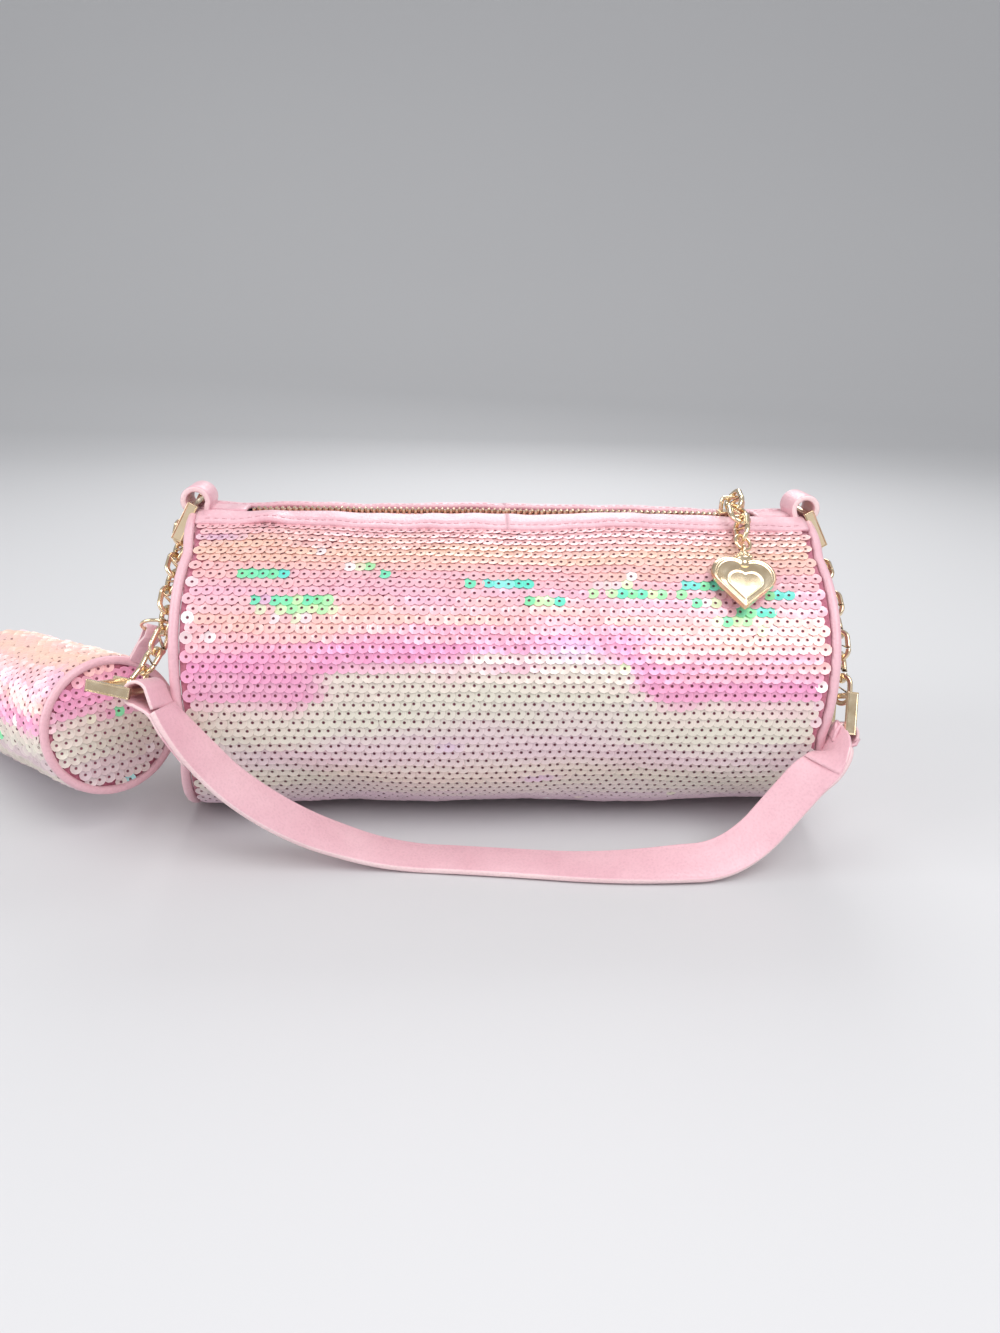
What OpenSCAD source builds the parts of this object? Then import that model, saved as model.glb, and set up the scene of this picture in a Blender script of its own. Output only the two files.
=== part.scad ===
// Sequined barrel shoulder bag with a leather and chain strap, a zip charm and a small
// matching pouch. Millimetres, +Z up. The origin is on the surface that the bag rests on,
// under the middle of the barrel; the barrel lies along X and its front faces -Y.

/* [Barrel] */
// Length of the barrel between its two end seams
body_l = 238; // [210:1:270]
// Outer diameter of the barrel
body_d = 126; // [118:1:132]
// Thickness of the sequined cloth with its backing
wall_t = 2.4; // [2:0.1:3]
// Width of the flattened strip that the bag rests on
rest_w = 30; // [20:1:34]
// Thickness of the lining
lining_t = 0.8; // [0.6:0.1:1.2]
// Thickness of an end panel
panel_t = 2.4; // [1.8:0.1:3.4]
// Diameter of the rolled leather piping at the end seams
piping_d = 3.8; // [3:0.1:4.4]

/* [Zip] */
// Width of each leather zip band, measured around the barrel
band_w = 19; // [17:0.5:21]
// Distance from the zip's centre line to the edge of the leather
band_lip = 5.4; // [5:0.1:6]
// Length of the part of the mouth that opens
mouth_l = 168; // [150:1:180]
// Length of the whole row of teeth
zip_l = 206; // [200:1:208]
// Pitch of the zip teeth
tooth_pitch = 2.4; // [2:0.1:3]
// Width of one row of teeth
tooth_w = 2.1; // [1.8:0.1:2.3]
// Height of the teeth
tooth_h = 2.2; // [1.8:0.1:2.6]
// Length of the slider
slider_l = 11; // [9:0.5:12]
// Width of the slider
slider_w = 9; // [8.6:0.1:9.6]

/* [Zip charm] */
// Distance between the joints of the large pull links
pull_pitch = 11.4; // [11:0.1:12]
// Width of a large pull link
pull_w = 9.6; // [9:0.1:10]
// Wire diameter of the large pull links
pull_wire = 2.2; // [1.8:0.1:2.4]
// Outer diameter of the jump ring
jump_d = 8; // [7:0.1:9]
// Width of the heart
heart_w = 25; // [18:0.5:26]
// Thickness of the heart
heart_t = 3.6; // [2.6:0.1:4.2]

/* [Chain and rings] */
// Distance between the joints of the curb links
link_pitch = 8.8; // [8.4:0.1:9.2]
// Width of a curb link
link_w = 8.6; // [8.2:0.1:9.2]
// Wire diameter of the curb links
link_wire = 2; // [1.7:0.1:2.1]
// Distance between the two rods of a rectangular ring
ring_span = 14; // [13:0.1:16]
// Clear width between the side plates of a rectangular ring
ring_w = 16.8; // [16.4:0.1:18]
// Diameter of the ring rods
rod_d = 2.4; // [2:0.1:2.6]
// Width of the flat side plates of a ring
plate_w = 4.2; // [3.4:0.1:5]
// Thickness of the side plates of a ring
plate_t = 1.6; // [1.2:0.1:2]

/* [Leather] */
// Width of the leather loops that hold the rings
loop_w = 15.2; // [12:0.1:15.8]
// Inner diameter of the leather loops
loop_bore = 7; // [6.6:0.1:7.4]
// Thickness of a leather loop
loop_t = 2.4; // [2:0.1:2.8]
// Width of the shoulder strap
strap_w = 16; // [13:0.5:17]
// Thickness of the shoulder strap, both plies together
strap_t = 2.6; // [2.2:0.1:3.2]
// Outer radius of the side tabs
side_tab_r = 18; // [16:0.5:19]
// Width of the side tabs
side_tab_w = 14; // [12:0.5:16]
// Thickness of the side tabs
side_tab_t = 2.6; // [2:0.1:3.2]
// Diameter of the rivet heads
rivet_d = 7; // [5:0.1:9]

/* [Pouch] */
// Length of the pouch
pouch_l = 105; // [95:1:112]
// Outer diameter of the pouch
pouch_d = 55; // [50:1:57]
// Thickness of the pouch wall
pouch_wall = 2; // [1.6:0.1:2.4]
// Length of the zip opening in the pouch
pouch_mouth = 80; // [60:1:84]
// Outer diameter of the thin ring that carries the pouch
pouch_ring_d = 13; // [12:0.1:14]
// Wire diameter of that ring
pouch_ring_wire = 1.3; // [1:0.1:1.5]
// Distance from that ring to the root of the pouch tab
pouch_tab_l = 16; // [14:0.5:20]
// Width of the pouch tab
pouch_tab_w = 6; // [5:0.5:7]

/* [Hidden] */
$fn = 64;

// Clearances and the overrun of cuts
seam_gap = 0.2;      // between sewn layers
seat_gap = 0.3;      // between a piece and the soft thing that it rests on
run_gap = 0.3;       // between moving pieces
link_play = 0.12;    // between two links that hang in each other
over = 1;            // overrun of cuts
fine = 1000;         // links are made to a thousandth of a millimetre

// Barrel
body_r = body_d / 2;
axis_z = sqrt(body_r * body_r - rest_w * rest_w / 4);
end_x = body_l / 2;
inner_r = body_r - wall_t;
piping_x = end_x + piping_d / 2 + seam_gap;
piping_r = body_r - piping_d / 2;

// Zip, all measured from the barrel's axis
band_in = asin(band_lip / body_r);
band_out = band_w / body_r * 180 / PI;
hinge_r = body_r - wall_t / 2;
hinge_clear = (wall_t / 2 + run_gap) / hinge_r * 180 / PI;
rail_gap = 1.5;
rail_drop = 0.9;
rail_top = body_r - rail_drop;
tape_t = 0.8;
tape_w = 9.6;
tape_r = inner_r - seam_gap / 2;
slider_out = 5;
slider_x = (mouth_l + slider_l) / 2 + slider_out;
plate_gap = 0.35;
slider_plate_t = 1.3;
slider_top = rail_top + plate_gap + slider_plate_t;
slider_low = rail_top - tooth_h - tape_t - plate_gap;
post_t = rail_gap - 2 * run_gap;

// Zip charm: the joints lie round the front of the barrel
pull_bar_d = 1.8;
pull_bar_l = 8.8;
pull_rolls = [60, -20, 70];
pull_bar_r = slider_top + (pull_w - pull_wire) / 2 * sin(pull_rolls[0]) + pull_wire / 2 + 4 * run_gap;
pull_lift = 5;
pull_r = body_r + pull_lift;
pull_step = pull_pitch / pull_r * 180 / PI;
jump_wire = 1.4;
jump_pitch = jump_d - 2 * jump_wire - link_play;
charm_rise = 4.1;
charm_r = body_r + charm_rise;
charm_x_shares = [0, -0.16, -0.36, -0.58, -0.7, -1];
charm_drift = 7.5;
cap_d = 6.4;
cap_h = 3.6;
cap_loop_d = 5.2;
cap_loop_wire = 1.2;
cap_taper = 0.7;
heart_shape = 0.98;
heart_rise = 0.35;
heart_bezel = 1.4;
heart_drop = 4.2;
jump_roll = -20;
heart_l = heart_w * heart_shape;

// Leather loops and rectangular rings at the top of each end
loop_r = loop_bore / 2 + loop_t;
loop_y = -2;
loop_out = 3.6;
loop_up = 3.4;
loop_x = end_x + loop_out;
loop_z = axis_z + body_r + loop_up;
ring_lean = 29;
rod_seat = loop_bore / 2 - rod_d / 2 - seat_gap;
rod_x = loop_x + rod_seat * sin(ring_lean);
rod_z = loop_z - rod_seat * cos(ring_lean);
low_rod_x = rod_x + ring_span * sin(ring_lean);
low_rod_z = rod_z - ring_span * cos(ring_lean);
tab_foot = 12;

// Curb chains: headings in the YZ plane, from +Y towards +Z, and the angle out of it
right_headings = [222, 212, 210, 214, 220, 228, 236, 244, 250];
right_outs = [0, 0, 0, 0, 0, 0, 0, 0, 0];
left_headings = [222, 212, 210, 214, 220, 228, 225, 224, 221];
left_outs = [0, 0, 0, 0, 0, 0, 15, 20, 25];
right_rolls = [45, -45, 45, -45, 45, -45, 45, -45, 45];
left_rolls = [-45, 45, -45, 45, -45, 45, -66, 29, 98];
rod_seat_long = 4;
rod_seat_short = 1.9;
link_n = len(right_headings);

function unit(v) = v / norm(v);
function square_to(v, d) = unit(v - (v * d) * d);
function heading(h, out, side) = [side * sin(out), cos(out) * cos(h), cos(out) * sin(h)];
function first_joint(side, d) =
    [side * low_rod_x, loop_y, low_rod_z] - d * rod_seat_long;
function walk(start, dirs, n) =
    n == 0 ? start : walk(start, dirs, n - 1) + link_pitch * dirs[n - 1];
right_dirs = [for (i = [0 : link_n - 1]) heading(right_headings[i], right_outs[i], 1)];
left_dirs = [for (i = [0 : link_n - 1]) heading(left_headings[i], left_outs[i], -1)];
right_joints = [for (i = [0 : link_n]) walk(first_joint(1, right_dirs[0]), right_dirs, i)];
left_joints = [for (i = [0 : link_n]) walk(first_joint(-1, left_dirs[0]), left_dirs, i)];

// Rectangular rings at the lower ends of the chains: which way the rods run, and which
// way the strap's rod lies from the other one. The right chain holds its ring by the rod,
// the left one has slid round to the rear side plate
right_ring_dir = unit([-0.1, -0.4, -0.91]);
right_rod_dir = square_to([0, 1, 0], right_ring_dir);
right_rod = right_joints[link_n] - right_dirs[link_n - 1] * rod_seat_short;
left_rod_dir = unit([0.19, 0.94, -0.28]);
left_ring_dir = square_to([0.97, -0.23, -0.12], left_rod_dir);
plate_seat = 2.3;
left_rod = left_joints[link_n] - left_dirs[link_n - 1] * plate_seat
    - left_rod_dir * (ring_w + plate_t) / 2 - left_ring_dir * ring_span / 2;
right_eye = right_rod + ring_span * right_ring_dir;
left_eye = left_rod + ring_span * left_ring_dir;
eye_bore = loop_bore;
eye_pull = eye_bore / 2 - rod_d / 2 - seat_gap;

// Strap: how far each station lies from the left eye to the right one, how far in front of
// the line between them, how much of the nearer eye's height is left, and which way the
// strap's width runs
strap_x_shares = [0.024, 0.055, 0.11, 0.185, 0.26, 0.34, 0.43, 0.52, 0.60, 0.68, 0.756,
    0.814, 0.867, 0.905, 0.94, 0.966, 0.985];
strap_y_shares = [0.14, 0.28, 0.34, 0.28, 0.18, 0.18, 0.34, 0.53, 0.72, 0.86, 0.94, 0.92,
    0.81, 0.72, 0.66, 0.61, 0.42];
strap_z_shares = [0.93, 0.77, 0.52, 0.28, 0.12, 0.02, 0, 0, 0, 0, 0.03, 0.11, 0.28, 0.52, 0.75,
    0.86, 0.94];
strap_wides = [[0.25, 0.92, -0.26], [0.49, 0.7, -0.24], [0.5, 0.8, 0], [0.4, 0.9, 0.2],
    [0.25, 0.95, 0.2], [0.12, 0.98, 0.12], [0, 0.99, 0.08], [0, 0.99, 0.08], [0, 0.99, 0.12],
    [0, 0.95, 0.25], [0, 0.88, 0.45], [-0.2, 0.8, 0.5], [-0.45, 0.7, 0.5], [-0.6, 0.65, 0.4],
    [-0.6, 0.65, 0.35], [-0.45, 0.8, 0.1], [-0.12, 0.92, -0.3]];
strap_reach = 21;
strap_steps = 3;
strap_edge = 0.5;

// Side tabs: half rings on the end panels, each with a rivet at its crown
left_tab_y = 15;
left_tab_rise = 0.51;
left_tab_z = axis_z + body_r * left_tab_rise;
right_tab_y = -9;
right_tab_rise = 0.11;
right_tab_z = axis_z + body_r * right_tab_rise;
side_foot_l = 4;
rivet_pin_d = 3;
rivet_head_t = 1.2;
rivet_taper = 0.7;
side_tab_x = end_x + seam_gap;

// Pouch, carried by a thin ring on the sixth link of the left chain
pouch_link = 5;
pouch_r = pouch_d / 2;
pouch_lining_t = 0.7;
pouch_yaw = 42;
pouch_end_t = 2;
pouch_piping_d = 3.2;
pouch_ring_r = (pouch_ring_d - pouch_ring_wire) / 2;
link_bar = (link_w - link_wire) / 2;
host_dir = left_dirs[pouch_link];
host_mid = (left_joints[pouch_link] + left_joints[pouch_link + 1]) / 2;
host_side = cross(unit(cross(host_dir, [1, 0, 0])), host_dir);
host_up = unit(cross(host_dir, [1, 0, 0]));
host_bar = host_mid + link_bar * bar_side();
pouch_hang_dir = square_to([-0.5, 0.3, -0.8], host_dir);
ring_hold = (link_wire + pouch_ring_wire) / 2 + seat_gap;
pouch_ring_c = host_bar + pouch_hang_dir * (pouch_ring_r - ring_hold);
pouch_ring_far = pouch_ring_c + pouch_hang_dir * pouch_ring_r;
pouch_tab_across = cross(host_dir, pouch_hang_dir);
pouch_tab_dir = square_to([-0.35, 0.4, -0.85], pouch_tab_across);
pouch_tab_t = 1.5;
pouch_tab_off = 1;
pouch_tab_bore = 3.8;
pouch_root = pouch_ring_far + pouch_tab_dir * pouch_tab_l;
pouch_right = [cos(pouch_yaw), sin(pouch_yaw), 0];
pouch_root_at = 60;
pouch_front = pouch_root - (pouch_r + pouch_tab_off) * (cos(pouch_root_at) * pouch_right
    + [0, 0, sin(pouch_root_at)]);
pouch_tilt = asin((pouch_front[2] - pouch_r - seat_gap) / pouch_l);
pouch_axis = [-sin(pouch_yaw) * cos(pouch_tilt), cos(pouch_yaw) * cos(pouch_tilt),
    -sin(pouch_tilt)];
pouch_zip_at = 285;
pouch_pull_at = 270;
pouch_slot = 12;
pouch_slider_l = 8;
pouch_slider_w = 5.4;
pouch_plate_t = 1;
pouch_bar_d = 1.4;
pouch_bar_l = 5.6;
pouch_bar_rise = 1.2;
pouch_bar_x = run_gap + pouch_plate_t + pouch_bar_d + pouch_bar_rise;
pouch_pull_l = 15;
pouch_pull_w = 10;
pouch_pull_t = 1;
pouch_slider_out = 1;
pouch_slider_z = (pouch_l - pouch_mouth + pouch_slider_l) / 2 + pouch_slider_out;

// Which side bar of the sixth link the pouch's ring goes round
function bar_side() = let (k = left_rolls[pouch_link])
    -(cos(k) * host_side + sin(k) * host_up);

function polar(r, a, x = 0) = [x, -r * sin(a), axis_z + r * cos(a)];
function lerp(a, b, t) = a + (b - a) * t;
function curve(v, i, t) = let (n = len(v) - 1, a = v[max(i - 1, 0)], b = v[i],
    c = v[min(i + 1, n)], d = v[min(i + 2, n)])
    b + t / 2 * (c - a + t * (2 * a - 5 * b + 4 * c - d + t * (3 * (b - c) + d - a)));

// Puts a child's Z axis along z_dir and its X axis as near to x_dir as it goes
module placed(origin, z_dir, x_dir) {
    z = unit(z_dir);
    y = unit(cross(z, x_dir));
    x = cross(y, z);
    multmatrix([
        [x[0], y[0], z[0], origin[0]],
        [x[1], y[1], z[1], origin[1]],
        [x[2], y[2], z[2], origin[2]],
        [0, 0, 0, 1]
    ]) children();
}

// A sector of a tube round the barrel's axis, from angle a0 to a1 towards the front
module sector(r0, r1, a0, a1, x0, x1) {
    span = a1 - a0;
    translate([x0, 0, axis_z]) rotate([90, 0, 90]) rotate([0, 0, 90 + a0])
        linear_extrude(x1 - x0) difference() {
            wedge(r1, span);
            circle(r0, $fn = 128);
        }
}

// A slice of a disc, from angle 0 to span
module wedge(r, span) {
    intersection() {
        circle(r, $fn = 128);
        if (span < 180)
            polygon([[0, 0], 2 * r * [1, 0], 2 * r * [cos(span / 2), sin(span / 2)],
                2 * r * [cos(span), sin(span)]]);
        else
            polygon([[0, 0], 2 * r * [1, 0], 2 * r * [1, 1], 2 * r * [-1, 1],
                2 * r * [-1, -1], 2 * r * [1, -1], 2 * r * [cos(span), sin(span)]]);
    }
}

// Everything below the surface that the bag rests on
module below() {
    translate([0, 0, -body_r]) cube([2 * body_l, 2 * body_d, body_d], center = true);
}

module shell() {
    cut = band_out + hinge_clear;
    color("hotpink") difference() {
        translate([-end_x, 0, axis_z]) rotate([0, 90, 0]) cylinder(r = body_r, h = body_l, $fn = 128);
        translate([-end_x - over, 0, axis_z]) rotate([0, 90, 0])
            cylinder(r = inner_r, h = body_l + 2 * over, $fn = 128);
        sector(inner_r - over, body_r + over, -cut, cut, -end_x - over, end_x + over);
        below();
    }
}

module lining() {
    cut = band_out + hinge_clear;
    r1 = inner_r - seam_gap;
    x1 = end_x - panel_t - seam_gap;
    color("mistyrose") difference() {
        translate([-x1, 0, axis_z]) rotate([0, 90, 0]) cylinder(r = r1, h = 2 * x1, $fn = 128);
        translate([-x1 + lining_t, 0, axis_z]) rotate([0, 90, 0])
            cylinder(r = r1 - lining_t, h = 2 * (x1 - lining_t), $fn = 128);
        sector(r1 - lining_t - over, body_r + over, -cut, cut, -x1 - over, x1 + over);
    }
}

// The round end, sewn inside the end of the barrel; side is -1 on the left
module end_panel(side) {
    r = inner_r - seam_gap;
    color("pink") translate([side * (end_x - panel_t / 2), 0, axis_z]) rotate([0, 90, 0])
        cylinder(r = r, h = panel_t, center = true, $fn = 128);
}

module end_panel_left() { end_panel(-1); }
module end_panel_right() { end_panel(1); }

module piping(side) {
    color("lightpink") difference() {
        translate([side * piping_x, 0, axis_z]) rotate([0, 90, 0])
            rotate_extrude($fn = 128) translate([piping_r, 0]) circle(d = piping_d, $fn = 32);
        translate([side * piping_x, loop_y, axis_z + piping_r])
            cube([2 * piping_d, loop_w + 2 * seam_gap, 2 * piping_d], center = true);
        below();
    }
}

module piping_left() { piping(-1); }
module piping_right() { piping(1); }

// The leather at each end of the zip, which stays closed
module zip_end(side) {
    x0 = mouth_l / 2 + run_gap;
    cut = band_out + hinge_clear / 2;
    shut_x = zip_l / 2 + seam_gap;
    color("lightpink") difference() {
        sector(inner_r, body_r, -cut, cut, side > 0 ? x0 : -end_x, side > 0 ? end_x : -x0);
        sector(inner_r - over, body_r + over, -band_in, band_in,
            side > 0 ? x0 - over : -shut_x, side > 0 ? shut_x : -x0 + over);
    }
}

module zip_end_left() { zip_end(-1); }
module zip_end_right() { zip_end(1); }

// One row of teeth on its tape; way is 1 on the front row
module tooth_row(x0, x1, way) {
    n = floor((x1 - x0) / tooth_pitch);
    near = rail_gap / 2;
    bead = tooth_w / 2;
    tape_in = asin((near + bead) / tape_r);
    tape_out = asin(tape_w / tape_r);
    sector(tape_r - tape_t, tape_r, way > 0 ? tape_in : -tape_out,
        way > 0 ? tape_out : -tape_in, x0, x1);
    translate([x0, -way * (near + 3 * bead / 2) - bead / 2, axis_z + rail_top - tooth_h])
        cube([x1 - x0, bead, tooth_h]);
    for (i = [0 : n - 1])
        translate([x0 + i * tooth_pitch, way > 0 ? -near - tooth_w : near,
            axis_z + rail_top - tooth_h]) cube([tooth_pitch / 2, tooth_w, tooth_h]);
}

module zip_end_teeth() {
    x0 = mouth_l / 2 + run_gap;
    color("palegoldenrod") for (way = [-1, 1]) {
        tooth_row(x0, zip_l / 2, way);
        tooth_row(-zip_l / 2, -x0, way);
    }
}

// A leather band beside the zip, which turns up about its sewn edge; way is 1 in front
module mouth(way) {
    x1 = mouth_l / 2;
    color("lightpink") {
        sector(inner_r, body_r, way > 0 ? band_in : -band_out, way > 0 ? band_out : -band_in,
            -x1, x1);
        translate(polar(hinge_r, way * band_out, -x1)) rotate([0, 90, 0])
            cylinder(d = wall_t - seam_gap / 2, h = mouth_l);
    }
}

module mouth_front() { mouth(1); }
module mouth_rear() { mouth(-1); }
module zip_teeth_front() { color("palegoldenrod") tooth_row(-mouth_l / 2, mouth_l / 2, 1); }
module zip_teeth_rear() { color("palegoldenrod") tooth_row(-mouth_l / 2, mouth_l / 2, -1); }

module slider() {
    flange_t = 0.8;
    flange_h = rail_top + plate_gap - (tape_r + plate_gap) + over;
    post_l = slider_l / 3;
    color("gold") translate([slider_x, 0, axis_z]) {
        translate([0, 0, slider_top - slider_plate_t / 2])
            cube([slider_l, slider_w, slider_plate_t], center = true);
        translate([0, 0, slider_low - slider_plate_t / 2])
            cube([slider_l, slider_w, slider_plate_t], center = true);
        translate([0, 0, (slider_top + slider_low - slider_plate_t) / 2])
            cube([post_l, post_t, slider_top - slider_low], center = true);
        for (way = [-1, 1])
            translate([0, way * (slider_w - flange_t) / 2, slider_top - slider_plate_t - flange_h / 4])
                cube([slider_l, flange_t, flange_h / 2], center = true);
        for (way = [-1, 1]) translate([way * pull_bar_l / 2, 0, slider_top])
            cylinder(d = pull_bar_d, h = pull_bar_r - slider_top);
        translate([-pull_bar_l / 2, 0, pull_bar_r]) rotate([0, 90, 0])
            cylinder(d = pull_bar_d, h = pull_bar_l);
        for (way = [-1, 1]) translate([way * pull_bar_l / 2, 0, pull_bar_r]) sphere(d = pull_bar_d);
    }
}

// A closed link: round wire bent to an oblong, between the joints at 0 and at pitch
module oblong(pitch, width, wire) {
    bend = (width - wire) / 2;
    half = round(((pitch + wire + link_play) / 2 - bend) * fine) / fine;
    translate([0, 0, pitch / 2]) rotate([90, 0, 0]) {
        for (turn = [0, 180]) rotate([0, 0, turn]) translate([0, half, 0])
            rotate_extrude(angle = 180, $fn = 48) translate([bend, 0]) circle(d = wire, $fn = 24);
        for (way = [-1, 1]) translate([way * bend, half, 0]) rotate([90, 0, 0])
            cylinder(d = wire, h = 2 * half, $fn = 24);
    }
}

// Joints of the zip charm: the slider's bar, three links, the jump ring and the cap's loop
function charm_x(i) = slider_x + charm_drift * charm_x_shares[i];
function charm_joint(i) =
    i == 0 ? polar(pull_bar_r, 0, charm_x(0)) :
    i < 4 ? polar(pull_r, i * pull_step, charm_x(i)) :
    polar(lerp(pull_r, charm_r, 0.5), 3 * pull_step + jump_pitch / pull_r * 180 / PI, charm_x(4));
heart_at = 3 * pull_step
    + (jump_pitch + cap_h + heart_l / 2 + heart_drop) / pull_r * 180 / PI;
heart_c = polar(charm_r, heart_at, charm_x(5));

module pull_link(i) {
    a = charm_joint(i);
    b = charm_joint(i + 1);
    slack = i == 0 ? pull_bar_d / 2 + run_gap + link_play : 0;
    d = unit(b - a);
    long = norm(b - a) + slack;
    color("gold") placed(a - slack * d, d, [1, 0, 0]) rotate([0, 0, pull_rolls[i]])
        oblong(long, pull_w, pull_wire);
}

module pull_link_1() { pull_link(0); }
module pull_link_2() { pull_link(1); }
module pull_link_3() { pull_link(2); }

module jump_ring() {
    a = charm_joint(3);
    b = charm_joint(4);
    color("gold") placed((a + b) / 2, b - a, [1, 0, 0]) rotate([0, 0, jump_roll]) rotate([90, 0, 0])
        rotate_extrude() translate([(jump_d - jump_wire) / 2, 0]) circle(d = jump_wire, $fn = 24);
}

// The flat heart outline, its point downwards along -Y
module heart_outline(w) {
    lobe = w / (2 + sqrt(2));
    translate([0, lobe * heart_rise]) rotate(45) {
        translate([-lobe, -lobe]) square(2 * lobe);
        translate([0, lobe]) circle(lobe);
        translate([lobe, 0]) circle(lobe);
    }
}

module heart_charm() {
    top = charm_joint(4);
    down = unit(heart_c - top);
    out = square_to(polar(1, heart_at) - [0, 0, axis_z], down);
    reach = norm(heart_c - top);
    stem = reach - heart_l / 2;
    cap_at = cap_loop_d - 2 * cap_loop_wire;
    color("gold") placed(top, down, cross(out, down)) {
        translate([0, 0, cap_loop_d / 2 - cap_loop_wire - link_play / 2]) rotate([0, 90, 0])
            rotate_extrude() translate([(cap_loop_d - cap_loop_wire) / 2, 0])
                circle(d = cap_loop_wire, $fn = 24);
        translate([0, 0, cap_at]) cylinder(d1 = cap_d * cap_taper, d2 = cap_d, h = cap_h / 2);
        translate([0, 0, cap_at + cap_h / 2]) cylinder(d = cap_d, h = stem);
        translate([0, 0, reach]) rotate([-90, 0, 0]) linear_extrude(heart_t, center = true)
            heart_outline(heart_w);
        translate([0, 0, reach]) rotate([-90, 0, 0])
            linear_extrude(heart_t + heart_bezel / 2, center = true)
                heart_outline(heart_w - 2 * heart_bezel);
    }
}

// A leather loop for a ring; its two ends go down into the seam, between the piping's ends
module tab(side) {
    foot_x = end_x + seam_gap;
    foot_t = 2 * loop_t;
    foot_h = tab_foot + loop_z - axis_z - piping_r;
    color("lightpink") difference() {
        union() {
            translate([side * loop_x, loop_y, loop_z]) rotate([90, 0, 0])
                cylinder(r = loop_r, h = loop_w, center = true);
            translate([side * (foot_x + foot_t / 2), loop_y, loop_z - foot_h / 2])
                cube([foot_t, loop_w, foot_h], center = true);
        }
        translate([side * loop_x, loop_y, loop_z]) rotate([90, 0, 0])
            cylinder(d = loop_bore, h = loop_w + 2 * over, center = true);
        translate([side * (foot_x - body_r), 0, axis_z]) rotate([0, 90, 0])
            cylinder(r = body_r + seam_gap, h = body_d, center = true, $fn = 128);
    }
}

module tab_left() { tab(-1); }
module tab_right() { tab(1); }

// A half ring of leather standing out from the end panel, with two flat feet
module side_tab(side, y, z) {
    foot_t = side_tab_t;
    color("lightpink") difference() {
        union() {
            translate([side * side_tab_x, y, z]) rotate([90, 0, 0])
                cylinder(r = side_tab_r, h = side_tab_w, center = true, $fn = 96);
            for (way = [-1, 1])
                translate([side * (side_tab_x + foot_t / 2), y,
                    z + way * (side_tab_r + side_foot_l / 2 - foot_t)])
                    cube([foot_t, side_tab_w, side_foot_l + 2 * foot_t], center = true);
        }
        translate([side * side_tab_x, y, z]) rotate([90, 0, 0])
            cylinder(r = side_tab_r - side_tab_t, h = side_tab_w + 2 * over, center = true, $fn = 96);
        translate([side * (side_tab_x - body_r), y, z]) cube([body_d, body_d, body_d], center = true);
        translate([side * side_tab_x, y, z]) rotate([0, side * 90, 0])
            cylinder(d = rivet_pin_d + seam_gap, h = side_tab_r + over);
    }
}

module side_tab_left() { side_tab(-1, left_tab_y, left_tab_z); }
module side_tab_right() { side_tab(1, right_tab_y, right_tab_z); }

module rivet(side, y, z) {
    translate([side * (side_tab_x + side_tab_r), y, z]) rotate([0, side * 90, 0]) {
        translate([0, 0, seam_gap / 4])
            cylinder(d1 = rivet_d, d2 = rivet_d * rivet_taper, h = rivet_head_t, $fn = 32);
        translate([0, 0, -side_tab_t - rivet_head_t])
            cylinder(d = rivet_pin_d, h = side_tab_t + 2 * rivet_head_t);
        translate([0, 0, -side_tab_t - rivet_head_t - rivet_d * rivet_d / 8 / side_tab_r])
            cylinder(d = rivet_d, h = rivet_head_t);
    }
}

module rivets() {
    color("gold") {
        rivet(-1, left_tab_y, left_tab_z);
        rivet(1, right_tab_y, right_tab_z);
    }
}

// A rectangular ring: two rods along Y, the second one ring_span along +Z, and two plates
module ring_frame() {
    y = (ring_w + plate_t) / 2;
    for (z = [0, ring_span]) translate([0, 0, z]) rotate([90, 0, 0])
        cylinder(d = rod_d, h = ring_w + plate_t, center = true);
    for (way = [-1, 1]) translate([0, way * y, ring_span / 2])
        cube([plate_w, plate_t, ring_span + rod_d], center = true);
}

module upper_ring(side) {
    color("gold") placed([side * rod_x, loop_y, rod_z], [side * sin(ring_lean), 0, -cos(ring_lean)],
        [side * cos(ring_lean), 0, sin(ring_lean)]) ring_frame();
}

module upper_ring_left() { upper_ring(-1); }
module upper_ring_right() { upper_ring(1); }

module lower_ring_left() {
    color("gold") placed(left_rod, left_ring_dir, cross(left_rod_dir, left_ring_dir)) ring_frame();
}

module lower_ring_right() {
    color("gold") placed(right_rod, right_ring_dir, cross(right_rod_dir, right_ring_dir)) ring_frame();
}

module curb_link(joints, i, roll) {
    color("gold") placed(joints[i], joints[i + 1] - joints[i], [1, 0, 0])
        rotate([0, 0, roll]) oblong(link_pitch, link_w, link_wire);
}

module left_link_1() { curb_link(left_joints, 0, left_rolls[0]); }
module left_link_2() { curb_link(left_joints, 1, left_rolls[1]); }
module left_link_3() { curb_link(left_joints, 2, left_rolls[2]); }
module left_link_4() { curb_link(left_joints, 3, left_rolls[3]); }
module left_link_5() { curb_link(left_joints, 4, left_rolls[4]); }
module left_link_6() { curb_link(left_joints, 5, left_rolls[5]); }
module left_link_7() { curb_link(left_joints, 6, left_rolls[6]); }
module left_link_8() { curb_link(left_joints, 7, left_rolls[7]); }
module left_link_9() { curb_link(left_joints, 8, left_rolls[8]); }
module right_link_1() { curb_link(right_joints, 0, right_rolls[0]); }
module right_link_2() { curb_link(right_joints, 1, right_rolls[1]); }
module right_link_3() { curb_link(right_joints, 2, right_rolls[2]); }
module right_link_4() { curb_link(right_joints, 3, right_rolls[3]); }
module right_link_5() { curb_link(right_joints, 4, right_rolls[4]); }
module right_link_6() { curb_link(right_joints, 5, right_rolls[5]); }
module right_link_7() { curb_link(right_joints, 6, right_rolls[6]); }
module right_link_8() { curb_link(right_joints, 7, right_rolls[7]); }
module right_link_9() { curb_link(right_joints, 8, right_rolls[8]); }

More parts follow.
